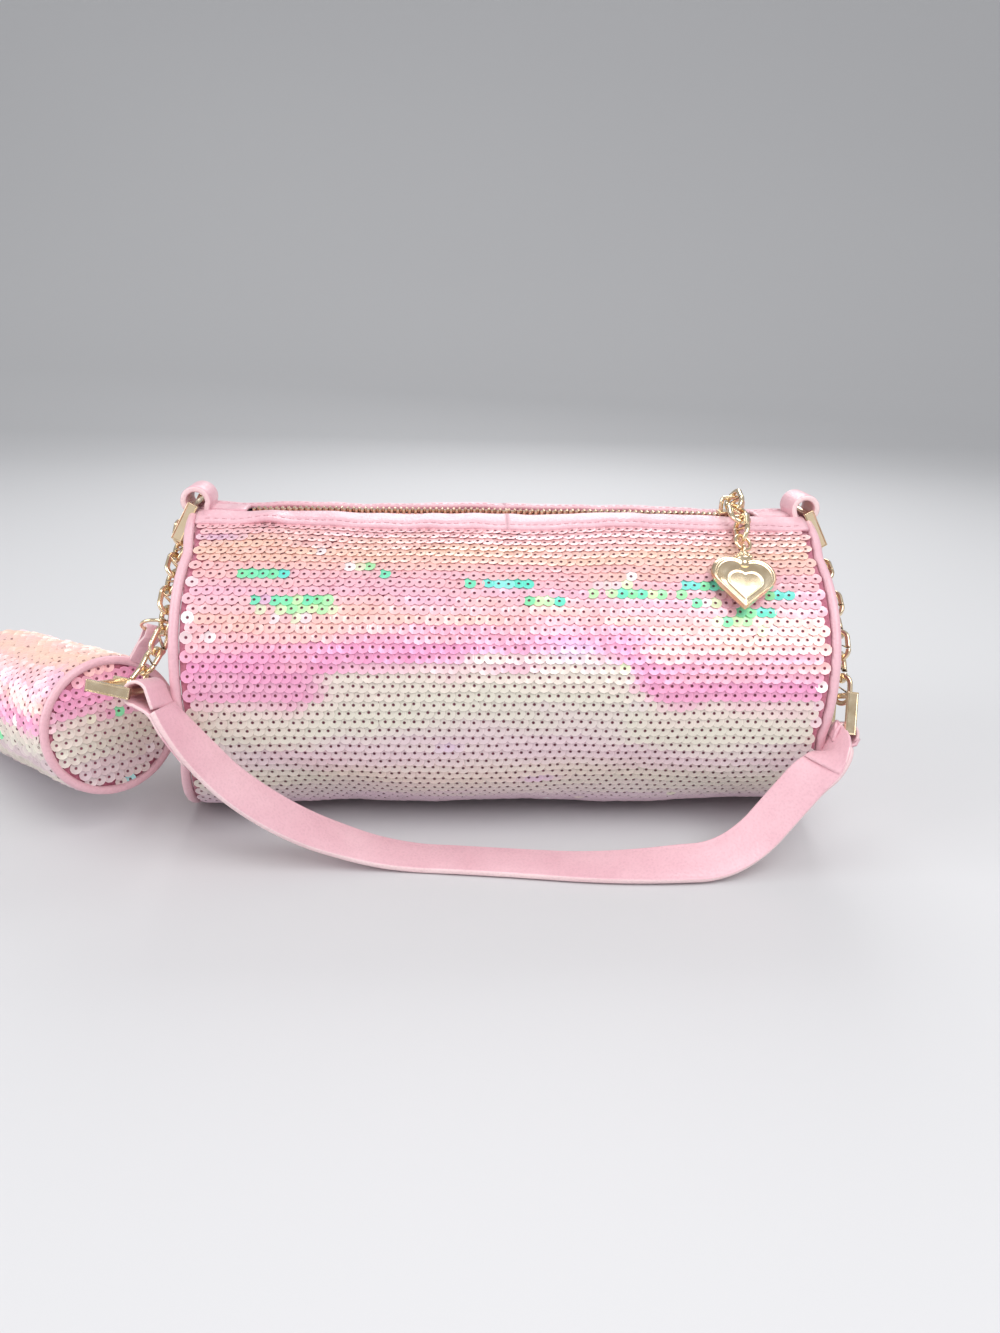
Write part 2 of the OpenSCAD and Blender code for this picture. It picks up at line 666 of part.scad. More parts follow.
// Strap: stations along its middle, each with the direction of its width
left_eye_c = left_eye + left_ring_dir * eye_pull;
right_eye_c = right_eye + right_ring_dir * eye_pull / 2;
floor_z = seat_gap + strap_t / 2;
function strap_point(i) = let (s = strap_x_shares[i], near = s < 0.5 ? left_eye_c : right_eye_c,
    line = lerp(left_eye_c, right_eye_c, s), edge = strap_w / 2 * strap_wides[i][2])
    [line[0], line[1] - strap_reach * strap_y_shares[i],
        max(lerp(floor_z, near[2], strap_z_shares[i]), edge + floor_z)];
strap_nodes = [for (i = [0 : len(strap_x_shares) - 1]) strap_point(i)];
strap_n = (len(strap_nodes) - 1) * strap_steps;
function strap_at(v, k) = let (i = floor(k / strap_steps)) curve(v, i, k / strap_steps - i);
strap_path = [for (k = [0 : strap_n]) strap_at(strap_nodes, k)];
strap_turn = [for (k = [0 : strap_n]) strap_at(strap_wides, k)];
function strap_dir(k) = unit(strap_path[min(k + 1, strap_n)] - strap_path[max(k - 1, 0)]);
function strap_wide(k) = square_to(strap_turn[k], strap_dir(k));

// Eight points of the strap's section: a rectangle with its corners taken off
function section(w, t, e) = [[-w, -t + e], [-w, t - e], [-w + e, t], [w - e, t], [w, t - e],
    [w, -t + e], [w - e, -t], [-w + e, -t]];

module sweep(path, wides, dirs, w, t) {
    sec = section(w / 2, t / 2, strap_edge);
    n = len(path);
    m = len(sec);
    points = [for (k = [0 : n - 1]) let (u = wides[k], v = cross(dirs[k], u)) for (p = sec)
        path[k] + p[0] * u + p[1] * v];
    faces = concat(
        [[for (j = [m - 1 : -1 : 0]) j]],
        [for (k = [0 : n - 2]) for (j = [0 : m - 1]) let (a = k * m, b = (k + 1) * m, q = (j + 1) % m)
            each [[a + j, b + q, b + j], [a + j, a + q, b + q]]],
        [[for (j = [0 : m - 1]) (n - 1) * m + j]]);
    polyhedron(points, faces, convexity = 4);
}

// The leather eye at a strap end: a round loop and a throat to the strap
module eye(center, rod_dir, toward) {
    along = square_to(toward, rod_dir);
    throat = eye_bore / 2 + strap_t;
    placed(center, rod_dir, along) difference() {
        union() {
            cylinder(d = eye_bore + strap_t, h = loop_w, center = true);
            translate([throat / 2, 0, 0]) cube([throat + strap_t, strap_t, loop_w], center = true);
        }
        cylinder(d = eye_bore, h = loop_w + 2 * over, center = true);
    }
}

module strap() {
    ks = [for (k = [0 : strap_n]) k];
    dirs = [for (k = ks) strap_dir(k)];
    wides = [for (k = ks) strap_wide(k)];
    color("lightpink") {
        sweep(strap_path, wides, dirs, strap_w, strap_t);
        eye(left_eye_c, left_rod_dir, strap_path[0] - left_eye_c);
        eye(right_eye_c, right_rod_dir, strap_path[strap_n] - right_eye_c);
    }
}

module pouch_ring() {
    color("gold") placed(pouch_ring_c, host_dir, pouch_hang_dir)
        rotate_extrude() translate([pouch_ring_r, 0]) circle(d = pouch_ring_wire, $fn = 24);
}

module pouch_tab() {
    eye_d = pouch_tab_bore + 2 * pouch_tab_t;
    sag = pouch_ring_r - sqrt(pouch_ring_r * pouch_ring_r - pouch_tab_w * pouch_tab_w / 4);
    shift = pouch_tab_bore / 2 - pouch_ring_wire / 2 - seat_gap - sag;
    color("lightpink") placed(pouch_ring_far + pouch_tab_dir * shift, pouch_tab_dir, pouch_tab_across)
        difference() {
            union() {
                rotate([0, 90, 0]) cylinder(d = eye_d, h = pouch_tab_w, center = true);
                translate([0, 0, (pouch_tab_l - shift) / 2])
                    cube([pouch_tab_w, 2 * pouch_tab_t, pouch_tab_l - shift], center = true);
            }
            rotate([0, 90, 0]) cylinder(d = pouch_tab_bore, h = pouch_tab_w + 2 * over, center = true);
        }
}

// The pouch's own frame: Z runs from its front end to its rear, X points down
module pouch_frame() { placed(pouch_front, pouch_axis, [0, 0, -1]) children(); }

module pouch_arc(r0, r1, span, z0, z1) {
    translate([0, 0, z0]) rotate([0, 0, pouch_zip_at - span]) linear_extrude(z1 - z0) difference() {
        wedge(r1, 2 * span);
        circle(r0, $fn = 128);
    }
}

module pouch_shell() {
    z0 = (pouch_l - pouch_mouth) / 2;
    color("hotpink") pouch_frame() difference() {
        cylinder(r = pouch_r, h = pouch_l, $fn = 96);
        translate([0, 0, -over]) cylinder(r = pouch_r - pouch_wall, h = pouch_l + 2 * over, $fn = 96);
        pouch_arc(pouch_r - pouch_wall - over, pouch_r + over, pouch_slot, z0, z0 + pouch_mouth);
    }
}

module pouch_lining() {
    r1 = pouch_r - pouch_wall - seam_gap;
    z0 = (pouch_l - pouch_mouth) / 2;
    z1 = pouch_end_t + seam_gap;
    color("mistyrose") pouch_frame() difference() {
        translate([0, 0, z1]) cylinder(r = r1, h = pouch_l - 2 * z1, $fn = 96);
        translate([0, 0, z1 + pouch_lining_t])
            cylinder(r = r1 - pouch_lining_t, h = pouch_l - 2 * (z1 + pouch_lining_t), $fn = 96);
        pouch_arc(r1 - pouch_lining_t - over, pouch_r, pouch_slot, z0, z0 + pouch_mouth);
    }
}

module pouch_end(z) {
    color("pink") pouch_frame() translate([0, 0, z])
        cylinder(r = pouch_r - pouch_wall - seam_gap, h = pouch_end_t, $fn = 96);
}

module pouch_end_front() { pouch_end(0); }
module pouch_end_rear() { pouch_end(pouch_l - pouch_end_t); }

module pouch_piping() {
    r = pouch_r - pouch_piping_d / 2;
    off = pouch_piping_d / 2 + seam_gap;
    color("lightpink") pouch_frame() for (z = [-off, pouch_l + off]) translate([0, 0, z])
        rotate_extrude($fn = 96) translate([r, 0]) circle(d = pouch_piping_d, $fn = 24);
}

module pouch_zip() {
    z0 = (pouch_l - pouch_mouth) / 2 + seam_gap;
    z1 = (pouch_l + pouch_mouth) / 2 - seam_gap;
    edge = pouch_slot - seam_gap / pouch_r * 180 / PI;
    color("palegoldenrod") pouch_frame() difference() {
        pouch_arc(pouch_r - pouch_wall, pouch_r, edge, z0, z1);
        rotate([0, 0, pouch_zip_at]) translate([pouch_r, 0, pouch_l / 2])
            cube([2 * pouch_wall + over, rail_gap, z1 - z0 - 2 * pouch_end_t], center = true);
    }
}

module pouch_slider() {
    low = -pouch_wall - run_gap - pouch_plate_t / 2;
    high = run_gap + pouch_plate_t / 2;
    color("gold") pouch_frame() rotate([0, 0, pouch_zip_at]) translate([pouch_r, 0, pouch_slider_z]) {
        for (x = [low, high]) translate([x, 0, 0])
            cube([pouch_plate_t, pouch_slider_w, pouch_slider_l], center = true);
        translate([(low + high) / 2, 0, 0]) cube([high - low, post_t, pouch_slider_l / 3], center = true);
        for (way = [-1, 1]) translate([high, 0, way * pouch_bar_l / 2]) rotate([0, 90, 0])
            cylinder(d = pouch_bar_d, h = pouch_bar_x - high, $fn = 24);
        translate([pouch_bar_x, 0, 0])
            cylinder(d = pouch_bar_d, h = pouch_bar_l + pouch_bar_d, center = true, $fn = 24);
    }
}

// The oval pull hangs down from the bar of the pouch slider
module pouch_pull() {
    bore = pouch_bar_d + 2 * link_play;
    neck_w = pouch_bar_l - pouch_bar_d - 2 * run_gap;
    knuckle = bore + pouch_pull_t;
    color("gold") pouch_frame() rotate([0, 0, pouch_zip_at])
        translate([pouch_r + pouch_bar_x, 0, pouch_slider_z])
        rotate([0, 0, pouch_pull_at - pouch_zip_at]) difference() {
            union() {
                cylinder(d = knuckle, h = neck_w, center = true, $fn = 32);
                translate([0, pouch_pull_l / 2, 0]) scale([1, 1, pouch_pull_w / pouch_pull_l])
                    rotate([0, 90, 0]) cylinder(d = pouch_pull_l, h = pouch_pull_t, center = true);
            }
            cylinder(d = bore, h = pouch_pull_w + 2 * over, center = true, $fn = 24);
        }
}

shell();
lining();
end_panel_left();
end_panel_right();
piping_left();
piping_right();
zip_end_left();
zip_end_right();
zip_end_teeth();
tab_left();
tab_right();
side_tab_left();
side_tab_right();
rivets();
mouth_front();
mouth_rear();
zip_teeth_front();
zip_teeth_rear();
slider();
pull_link_1();
pull_link_2();
pull_link_3();
jump_ring();
heart_charm();
upper_ring_left();
upper_ring_right();
left_link_1();
left_link_2();
left_link_3();
left_link_4();
left_link_5();
left_link_6();
left_link_7();
left_link_8();
left_link_9();
right_link_1();
right_link_2();
right_link_3();
right_link_4();
right_link_5();
right_link_6();
right_link_7();
right_link_8();
right_link_9();
lower_ring_left();
lower_ring_right();
strap();
pouch_ring();
pouch_tab();
pouch_shell();
pouch_lining();
pouch_end_front();
pouch_end_rear();
pouch_piping();
pouch_zip();
pouch_slider();
pouch_pull();
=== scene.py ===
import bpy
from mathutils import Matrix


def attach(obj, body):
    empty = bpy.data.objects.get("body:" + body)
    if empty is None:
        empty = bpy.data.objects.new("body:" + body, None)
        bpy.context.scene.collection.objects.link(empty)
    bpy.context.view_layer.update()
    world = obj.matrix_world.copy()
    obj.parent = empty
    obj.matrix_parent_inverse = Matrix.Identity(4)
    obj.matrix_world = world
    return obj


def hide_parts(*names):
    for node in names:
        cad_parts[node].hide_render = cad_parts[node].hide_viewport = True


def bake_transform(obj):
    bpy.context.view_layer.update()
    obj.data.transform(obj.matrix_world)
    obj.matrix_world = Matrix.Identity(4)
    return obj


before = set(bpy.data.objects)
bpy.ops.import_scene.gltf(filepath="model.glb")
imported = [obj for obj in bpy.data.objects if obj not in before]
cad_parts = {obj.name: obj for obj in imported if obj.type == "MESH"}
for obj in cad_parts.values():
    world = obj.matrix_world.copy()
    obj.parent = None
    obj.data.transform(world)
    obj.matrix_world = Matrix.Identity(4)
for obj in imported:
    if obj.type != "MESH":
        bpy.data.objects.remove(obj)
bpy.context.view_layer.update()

import math
import bmesh
import bpy
import numpy as np
from mathutils import Matrix, Vector, noise

# Helpers. Lengths are in millimetres, as a bag maker gives them, and become metres where a
# place is made.
mm = 0.001
sides = ((-1, "left"), (1, "right"))
around_z = dict(axis=(0, 0, 1), cent=(0, 0, 0), angle=2 * math.pi, steps=28, use_merge=True)


def point(x, y, z):
    """A place given in millimetres."""
    return Vector((x, y, z)) * mm


def waver(x, y, z):
    """Smooth noise, from about -1 to 1."""
    return noise.noise(Vector((x, y, z)))


def meshed(name, bm):
    """Turns a finished bmesh into a mesh."""
    mesh = bpy.data.meshes.new(name)
    bm.to_mesh(mesh)
    bm.free()
    return mesh


def placed(name, data):
    """An object that is put in the scene."""
    made = bpy.data.objects.new(name, data)
    bpy.context.collection.objects.link(made)
    return made


def smooth(mesh, on=True):
    mesh.polygons.foreach_set("use_smooth", [on] * len(mesh.polygons))


def grid(nx, ny, shape):
    """A sheet of nx by ny faces; shape places each point from its share of either side."""
    bm = bmesh.new()
    bmesh.ops.create_grid(bm, x_segments=nx, y_segments=ny, size=1)
    for v in bm.verts:
        v.co = shape((v.co.x + 1) / 2, (v.co.y + 1) / 2)
    return bm


def thicken(bm, thick, outward=None):
    """Gives a sheet its thickness inwards; outward is a direction, or gives it for a place."""
    bmesh.ops.recalc_face_normals(bm, faces=bm.faces)
    bm.faces.ensure_lookup_table()
    if callable(outward):
        outward = outward(bm.faces[0].calc_center_median())
    if outward is not None and bm.faces[0].normal.dot(outward) < 0:
        bmesh.ops.reverse_faces(bm, faces=bm.faces)
    bmesh.ops.solidify(bm, geom=bm.faces[:], thickness=thick * mm)
    return bm


def weld(bm, near=0.00002, filled=False):
    """Joins points that lie on each other, and closes open ends."""
    bmesh.ops.remove_doubles(bm, verts=bm.verts, dist=near)
    if filled:
        bmesh.ops.holes_fill(bm, edges=[e for e in bm.edges if e.is_boundary], sides=0)


def block(bm, size, at=(0, 0, 0)):
    """Adds a box of a size round a place, and gives its points."""
    verts = bmesh.ops.create_cube(bm, size=1)["verts"]
    bmesh.ops.scale(bm, vec=point(*size), verts=verts)
    bmesh.ops.translate(bm, vec=point(*at), verts=verts)
    return verts


def bevelled(bm, width, steps):
    """Takes the sharpness off every edge."""
    bmesh.ops.bevel(bm, geom=bm.edges[:], offset=width * mm, offset_type="OFFSET", affect="EDGES",
        segments=steps, profile=0.5, material=-1)


def turned(bm, outline):
    """Turns an outline once round the Z axis."""
    line = [bm.verts.new(point(*p)) for p in outline]
    bmesh.ops.spin(bm, geom=line + [bm.edges.new(pair) for pair in zip(line, line[1:])], **around_z)


def repeated(template, frames):
    """One bmesh with a copy of the template at each place."""
    bm = bmesh.new()
    first = np.empty(len(template.vertices) * 3)
    template.vertices.foreach_get("co", first)
    for frame_at in frames:
        template.transform(frame_at)
        bm.from_mesh(template)
        template.vertices.foreach_set("co", first)
    return bm


def stand(origin, z_dir, x_dir):
    """A frame with Z along one direction and X as near to the other as it goes."""
    z = Vector(z_dir).normalized()
    y = z.cross(Vector(x_dir)).normalized()
    return Matrix.Translation(Vector(origin) * mm) @ Matrix((y.cross(z), y, z)).transposed().to_4x4()


def facing(at, along, out):
    """A frame at a point with X along a line and Z out of the surface."""
    x = along.normalized()
    y = out.cross(x).normalized()
    return Matrix.Translation(at) @ Matrix((x, y, x.cross(y))).transposed().to_4x4()


def coated(name, numbers):
    """A new material, its node tree, and its shader with the given inputs."""
    made = bpy.data.materials.new(name)
    made.use_nodes = True
    shader = made.node_tree.nodes["Principled BSDF"]
    for word, value in numbers.items():
        shader.inputs[word].default_value = value
    return made, made.node_tree, shader


def texture(tree, kind, scale, detail=None):
    """A noise or cell texture that lies in the object's own coordinates."""
    node = tree.nodes.new("ShaderNodeTex" + kind)
    node.inputs["Scale"].default_value = scale
    if detail:
        node.inputs["Detail"].default_value = detail
    tree.links.new(tree.nodes.new("ShaderNodeTexCoord").outputs["Object"], node.inputs["Vector"])
    return node


def ramp(tree, stops, fac):
    """A colour ramp; a stop is a place and a colour, or a place and a grey."""
    node = tree.nodes.new("ShaderNodeValToRGB")
    while len(node.color_ramp.elements) < len(stops):
        node.color_ramp.elements.new(0.5)
    for slot_at, (at, *colour) in zip(node.color_ramp.elements, stops):
        slot_at.position = at
        slot_at.color = (*(colour * 3)[:3], 1)
    tree.links.new(fac, node.inputs["Fac"])
    return node.outputs["Color"]


def filled_in(tree, pairs):
    """Links a socket, or writes a value, into each input."""
    for socket, value in pairs:
        if isinstance(value, bpy.types.NodeSocket):
            tree.links.new(value, socket)
        else:
            socket.default_value = value


def mix(tree, how, fac, a, b):
    """Mixes two colours; each input is a socket or a value."""
    node = tree.nodes.new("ShaderNodeMix")
    node.data_type = "RGBA"
    node.blend_type = how
    filled_in(tree, ((node.inputs[0], fac), (node.inputs[6], a), (node.inputs[7], b)))
    return node.outputs[2]


def maths(tree, how, a, b=0.0, c=0.0):
    """One step of arithmetic; each input is a socket or a value."""
    node = tree.nodes.new("ShaderNodeMath")
    node.operation = how
    filled_in(tree, zip(node.inputs, (a, b, c)))
    return node.outputs[0]


def embossed(tree, shader, height, strength, depth):
    """Raises a surface where the height is large."""
    node = tree.nodes.new("ShaderNodeBump")
    node.inputs["Strength"].default_value = strength
    node.inputs["Distance"].default_value = depth * mm
    tree.links.new(height, node.inputs["Height"])
    tree.links.new(node.outputs["Normal"], shader.inputs["Normal"])


# The table top that the bag lies on, and the pale wall behind it: one plain swept board,
# matt and light, which keeps the bag's shadow.
bm = bmesh.new()
bmesh.ops.create_grid(bm, x_segments=8, y_segments=24, size=3.0)
for v in bm.verts:
    back = v.co.y - 1.2
    v.co.z = -0.0004 + (0.9 * back * back if back > 0 else 0)
floor = placed("table_top", meshed("table_top", bm))
smooth(floor.data)
floor_paint, nt, board = coated("pale_board", {"Roughness": 0.6})
grain = nt.nodes.new("ShaderNodeTexNoise")
grain.inputs["Scale"].default_value = 3.0
tone = ramp(nt, ((0, 0.60, 0.60, 0.615), (1, 0.66, 0.66, 0.67)), grain.outputs["Fac"])
nt.links.new(tone, board.inputs["Base Color"])
floor.data.materials.append(floor_paint)

# The camera stands in front of the bag and a little to its left, and looks down on it by
# about twenty degrees, as the photograph's does.
pitch, yaw, roll = math.radians(19.95), math.radians(-3.95), math.radians(1.5)
ahead = Vector((-math.sin(yaw) * math.cos(pitch), math.cos(yaw) * math.cos(pitch), -math.sin(pitch)))
level = Vector((math.cos(yaw), math.sin(yaw), 0))
upward = level.cross(ahead)
cam_x = level * math.cos(roll) + upward * math.sin(roll)
cam_y = upward * math.cos(roll) - level * math.sin(roll)
cam = bpy.data.cameras.new("camera")
cam.sensor_width = 36
cam.lens = 973 / 1333 * cam.sensor_width
cam_object = placed("camera", cam)
cam_object.matrix_world = Matrix.Translation((-0.0278, -0.397, 0.200)) @ Matrix(
    (cam_x, cam_y, -ahead)).transposed().to_4x4()
bpy.context.scene.camera = cam_object
bpy.context.scene.view_settings.view_transform = "Standard"

# Soft studio light: a wide panel overhead in front, a weaker one at the left, a strip
# behind, and an even grey room that the shiny pieces mirror.
for name, place, size, power in (
        ("key_panel", (0.35, -0.75, 1.05), 0.9, 12.0),
        ("side_panel", (-1.0, -0.35, 0.55), 0.7, 5.5),
        ("back_strip", (0.1, 0.85, 0.75), 0.6, 5.0)):
    light = bpy.data.lights.new(name, "AREA")
    light.size = size
    light.energy = power
    lamp = placed(name, light)
    lamp.location = place
    lamp.rotation_mode = "QUATERNION"
    lamp.rotation_quaternion = (Vector((0, 0, 0.05)) - Vector(place)).to_track_quat("-Z", "Y")
room = bpy.data.worlds.new("room")
bpy.context.scene.world = room
room.use_nodes = True
nt = room.node_tree
sky = nt.nodes["Background"]
sky.inputs["Color"].default_value = (0.80, 0.81, 0.83, 1)
sky.inputs["Strength"].default_value = 0.62
seen = nt.nodes.new("ShaderNodeBackground")
seen.inputs["Color"].default_value = (0.66, 0.66, 0.67, 1)
rays = nt.nodes.new("ShaderNodeLightPath")
either = maths(nt, "MAXIMUM", rays.outputs["Is Camera Ray"], rays.outputs["Is Transmission Ray"])
mixed = nt.nodes.new("ShaderNodeMixShader")
nt.links.new(either, mixed.inputs[0])
nt.links.new(sky.outputs[0], mixed.inputs[1])
nt.links.new(seen.outputs[0], mixed.inputs[2])
nt.links.new(mixed.outputs[0], nt.nodes["World Output"].inputs["Surface"])

# The barrel: one panel of soft backed cloth that runs from the front zip band down under
# the bag and up to the rear one. Its two end seams are drawn in at the top by the ring
# loops and underneath by the bag's weight, and its walls ripple a little.
barrel_r, barrel_end = 63.0, 119.0
axis_z = 61.1882
band_edge = 17.28
lean_at = np.arange(0, 181, 3)
lean_by = np.interp(lean_at, (0, 18, 30, 42, 60, 88, 102, 116, 130, 150, 180),
    (-2.6, -2.2, -0.6, 1.6, 2.4, 1.6, 0.2, -2.4, -4.6, -6.4, -7.0))
bell = np.hanning(11)[1:-1]
lean_by = np.convolve(np.pad(lean_by, 4, mode="edge"), bell / bell.sum(), mode="valid")


def ripple(x, around):
    """How far the cloth stands out of a true cylinder there, in millimetres."""
    return 1.5 * waver(x / 46.0, around / 33.0, 1.7) + 0.45 * waver(x / 17.0, around / 21.0, 5.1) - 0.4


def on_barrel(x, around, height=0.0):
    """A point of the barrel: along it, round it from the top to the front, and out of it."""
    turn = abs((around + 180) % 360 - 180)
    near = min(max((abs(x) - 62) / 57, 0), 1.15)
    lean = float(np.interp(turn, lean_at, lean_by)) * near * near
    a = math.radians(around)
    swell = ripple(x, around) * (1 - max(near - 0.8, 0) * 3)
    if turn < 30:
        swell += 1.1 * (1 - turn / 30)
    r = barrel_r + height + swell
    floor_gap = 0.5 + max(-height, 0) * 0.8
    return point(x + math.copysign(lean, x), -r * math.sin(a), max(axis_z + r * math.cos(a), floor_gap))


def piece(name, bm, material, body, hidden=(), rounded=True):
    """Makes a finished bmesh an object that rides on its body."""
    bmesh.ops.recalc_face_normals(bm, faces=bm.faces)
    made = placed(name, meshed(name, bm))
    smooth(made.data, rounded)
    made.data.materials.append(material)
    if body:
        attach(made, body)
    if hidden:
        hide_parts(*hidden)
    return made


def wrapped(nx, ny, x0, x1, around0, around1, height, thick):
    """A sheet that is laid round the barrel and given its thickness inwards."""
    def shape(u, v):
        x, around = x0 + (x1 - x0) * u, around0 + (around1 - around0) * v
        return on_barrel(x, around, height(x, around) if callable(height) else height)

    return thicken(grid(nx, ny, shape), thick, lambda at: Vector((0, at.y, at.z - axis_z * mm)))


cloth, nt, shader = coated("rose_backing", {"Roughness": 0.8, "Sheen Weight": 0.3})
threads = texture(nt, "Voronoi", 900.0).outputs["Distance"]
nt.links.new(ramp(nt, ((0, 0.40, 0.10, 0.16), (1, 0.60, 0.20, 0.28)), threads), shader.inputs["Base Color"])
embossed(nt, shader, threads, 0.3, 0.4)
bm = wrapped(84, 110, -barrel_end + 0.2, barrel_end - 0.2, band_edge + 0.5, 359.5 - band_edge, -1.5, 0.9)
piece("barrel_cloth", bm, cloth, "bag", ["shell"])

# The sequins: flat pearly discs of film with a hole in the middle, sewn on in rows along
# the barrel. Each disc overlaps the next in its row, and each row the one below.
disc_r, hole_r = 2.45, 0.52
row_pitch, disc_pitch = 3.62, 3.72
bm = bmesh.new()
bmesh.ops.create_circle(bm, segments=10, radius=hole_r * mm)
grown = bmesh.ops.extrude_edge_only(bm, edges=bm.edges[:])
rim = [g for g in grown["geom"] if isinstance(g, bmesh.types.BMVert)]
bmesh.ops.scale(bm, vec=(disc_r / hole_r,) * 3, verts=rim)
bmesh.ops.translate(bm, vec=(0, 0, 0.22 * mm), verts=rim)
thicken(bm, 0.16)
bmesh.ops.recalc_face_normals(bm, faces=bm.faces)
disc_mesh = meshed("one_sequin", bm)
disc_co = np.empty(len(disc_mesh.vertices) * 3)
disc_mesh.vertices.foreach_get("co", disc_co)
disc_co = disc_co.reshape(-1, 3)
# disc marks each disc's outer half, which gets the painted rim highlight, apart from the inner half, which
# gets the painted hole shade.
disc_out = (np.hypot(disc_co[:, 0], disc_co[:, 1]) > disc_r * mm / 2).astype(float)


def sewn(name, places, body):
    """One mesh of many sequins: each place is a frame, a painted sheen, a run and a painted glint."""
    mesh = meshed(name, repeated(disc_mesh, [p[0] for p in places]))
    values = [np.repeat([p[i] for p in places], len(disc_out)) for i in (1, 2, 3)]
    for word, value in zip(("painted_sheen", "run", "glint", "disc"), (*values, np.tile(disc_out, len(places)))):
        mesh.attributes.new(word, "FLOAT", "POINT").data.foreach_set("value", value)
    mesh.materials.append(film)
    made = placed(name, mesh)
    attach(made, body)


def disc_frame(at, out, down, tilt, skew, spin, size=1.0):
    """Where one disc lies: its hole at a point, its lower edge lifted off the next row."""
    out = out.normalized()
    side = down.cross(out).normalized()
    fall = out.cross(side).normalized()
    face = Matrix((fall, -side, out)).transposed()
    turn = Matrix.Rotation(-tilt, 3, "Y") @ Matrix.Rotation(skew, 3, "X") @ Matrix.Rotation(spin, 3, "Z")
    return Matrix.Translation(at) @ (face @ turn).to_4x4() @ Matrix.Scale(size, 4)


# The film on the sequins is pink with a pearl coat. Its colour is a painted sheen, laid by where a
# disc lies: it shifts from peach through rose and lilac to a greenish cream as a row turns down,
# and single discs get painted glints of mint or aqua.
film, nt, pearl = coated("pearl_film",
    {"Metallic": 0.25, "Roughness": 0.4, "Coat Weight": 0.22, "Coat Roughness": 0.12})
reads = {}
for word in ("painted_sheen", "run", "glint", "disc"):
    node = nt.nodes.new("ShaderNodeAttribute")
    node.attribute_name = word
    reads[word] = node.outputs["Fac"]
# The painted sheen with the random run added: the pearl coat's colours, placed by where a row turns.
painted_sheen_run = maths(nt, "MULTIPLY_ADD", reads["run"], 0.035, reads["painted_sheen"])
painted_sheen_shift = ramp(nt, (
    (0.00, 0.88, 0.60, 0.60), (0.12, 0.88, 0.55, 0.58), (0.18, 0.90, 0.62, 0.50), (0.23, 0.90, 0.54, 0.56),
    (0.28, 0.89, 0.52, 0.64), (0.33, 0.90, 0.56, 0.50), (0.36, 0.88, 0.44, 0.54), (0.395, 0.84, 0.33, 0.55),
    (0.43, 0.84, 0.42, 0.58), (0.455, 0.80, 0.68, 0.62), (0.53, 0.74, 0.70, 0.60), (0.60, 0.74, 0.58, 0.62),
    (0.67, 0.76, 0.70, 0.60), (0.78, 0.74, 0.56, 0.64), (1.00, 0.72, 0.50, 0.55)), painted_sheen_run)
lilac = ramp(nt, ((0.0, 0), (0.62, 0), (0.80, 1)), reads["run"])
painted_sheen_shift = mix(nt, "MIX", maths(nt, "MULTIPLY", lilac, 0.6), painted_sheen_shift, (0.74, 0.50, 0.80, 1))
# Painted glints: a disc whose glint is above one takes one of these white, mint or aqua tints in place of its
# own colour.
glint_tint = ramp(nt, ((0.0, 0.9, 0.9, 0.9), (0.30, 0.88, 0.66, 0.70), (0.5, 0.72, 0.86, 0.52),
    (0.68, 0.28, 0.82, 0.42), (0.84, 0.13, 0.80, 0.66), (1.0, 0.55, 0.90, 0.92)),
    maths(nt, "FRACT", maths(nt, "MULTIPLY", reads["glint"], 3.0)))
painted_sheen_shift = mix(nt, "MIX", maths(nt, "GREATER_THAN", reads["glint"], 1.0), painted_sheen_shift, glint_tint)
# Painted shade darkens each disc round its hole, and a painted highlight lightens its outer rim.
rim_highlight_hole_shade = ramp(nt, ((0.0, 0.36, 0.26, 0.28), (0.10, 0.84, 0.80, 0.82), (0.12, 1), (0.86, 1),
    (0.93, 1.16), (1.0, 1.12)), reads["disc"])
nt.links.new(mix(nt, "MULTIPLY", 1.0, painted_sheen_shift, rim_highlight_hole_shade), pearl.inputs["Base Color"])

# Where discs get painted glints: the row's turn from the top, from where to where, and the tone.
glint_runs = ((41.5, -103, -84, 0.8), (41.5, -51, -45, 0.7), (44.5, -18, 8, 0.8), (47.8, 28, 65, 0.62),
    (51.5, -98, -66, 0.62), (54.8, -94, -64, 0.5), (51.5, 4, 21, 0.66), (44.5, 66, 82, 0.75),
    (51.5, 66, 78, 0.6), (54.8, 84, 104, 0.66), (48.0, 96, 106, 0.8), (58.0, -88, -72, 0.3),
    (58.0, 74, 92, 0.62), (44.5, 30, 44, 0.3), (38.0, -60, -52, 0.5), (61.5, 88, 100, 0.4))
# Where along the bag the painted sheen's cream band starts.
cream_at = (-119, -80, -62, -10, 40, 56, 119)
cream_from = (0.475, 0.485, 0.425, 0.395, 0.40, 0.50, 0.505)


def film_turn(x, turn):
    """The share of the colour range that a row shows, a painted sheen by how far the row turns down: the
    cream part starts in a wavy line.
    """
    painted_sheen = turn / 180
    edge = float(np.interp(x, cream_at, cream_from)) + 0.012 * waver(x / 14.0, 3.0, 0)
    return painted_sheen + (0.44 - edge) * math.exp(-((painted_sheen - 0.47) / 0.12) ** 2)


hand = np.random.default_rng(7)


def askew(tilt=9, tilt_by=1.6, skew=4, skew_by=2.2):
    """The tilt, skew and spin that hand sewing leaves a disc with."""
    return (math.radians(tilt + hand.normal(0, tilt_by)), math.radians(skew + hand.normal(0, skew_by)),
        hand.uniform(0, 0.6))


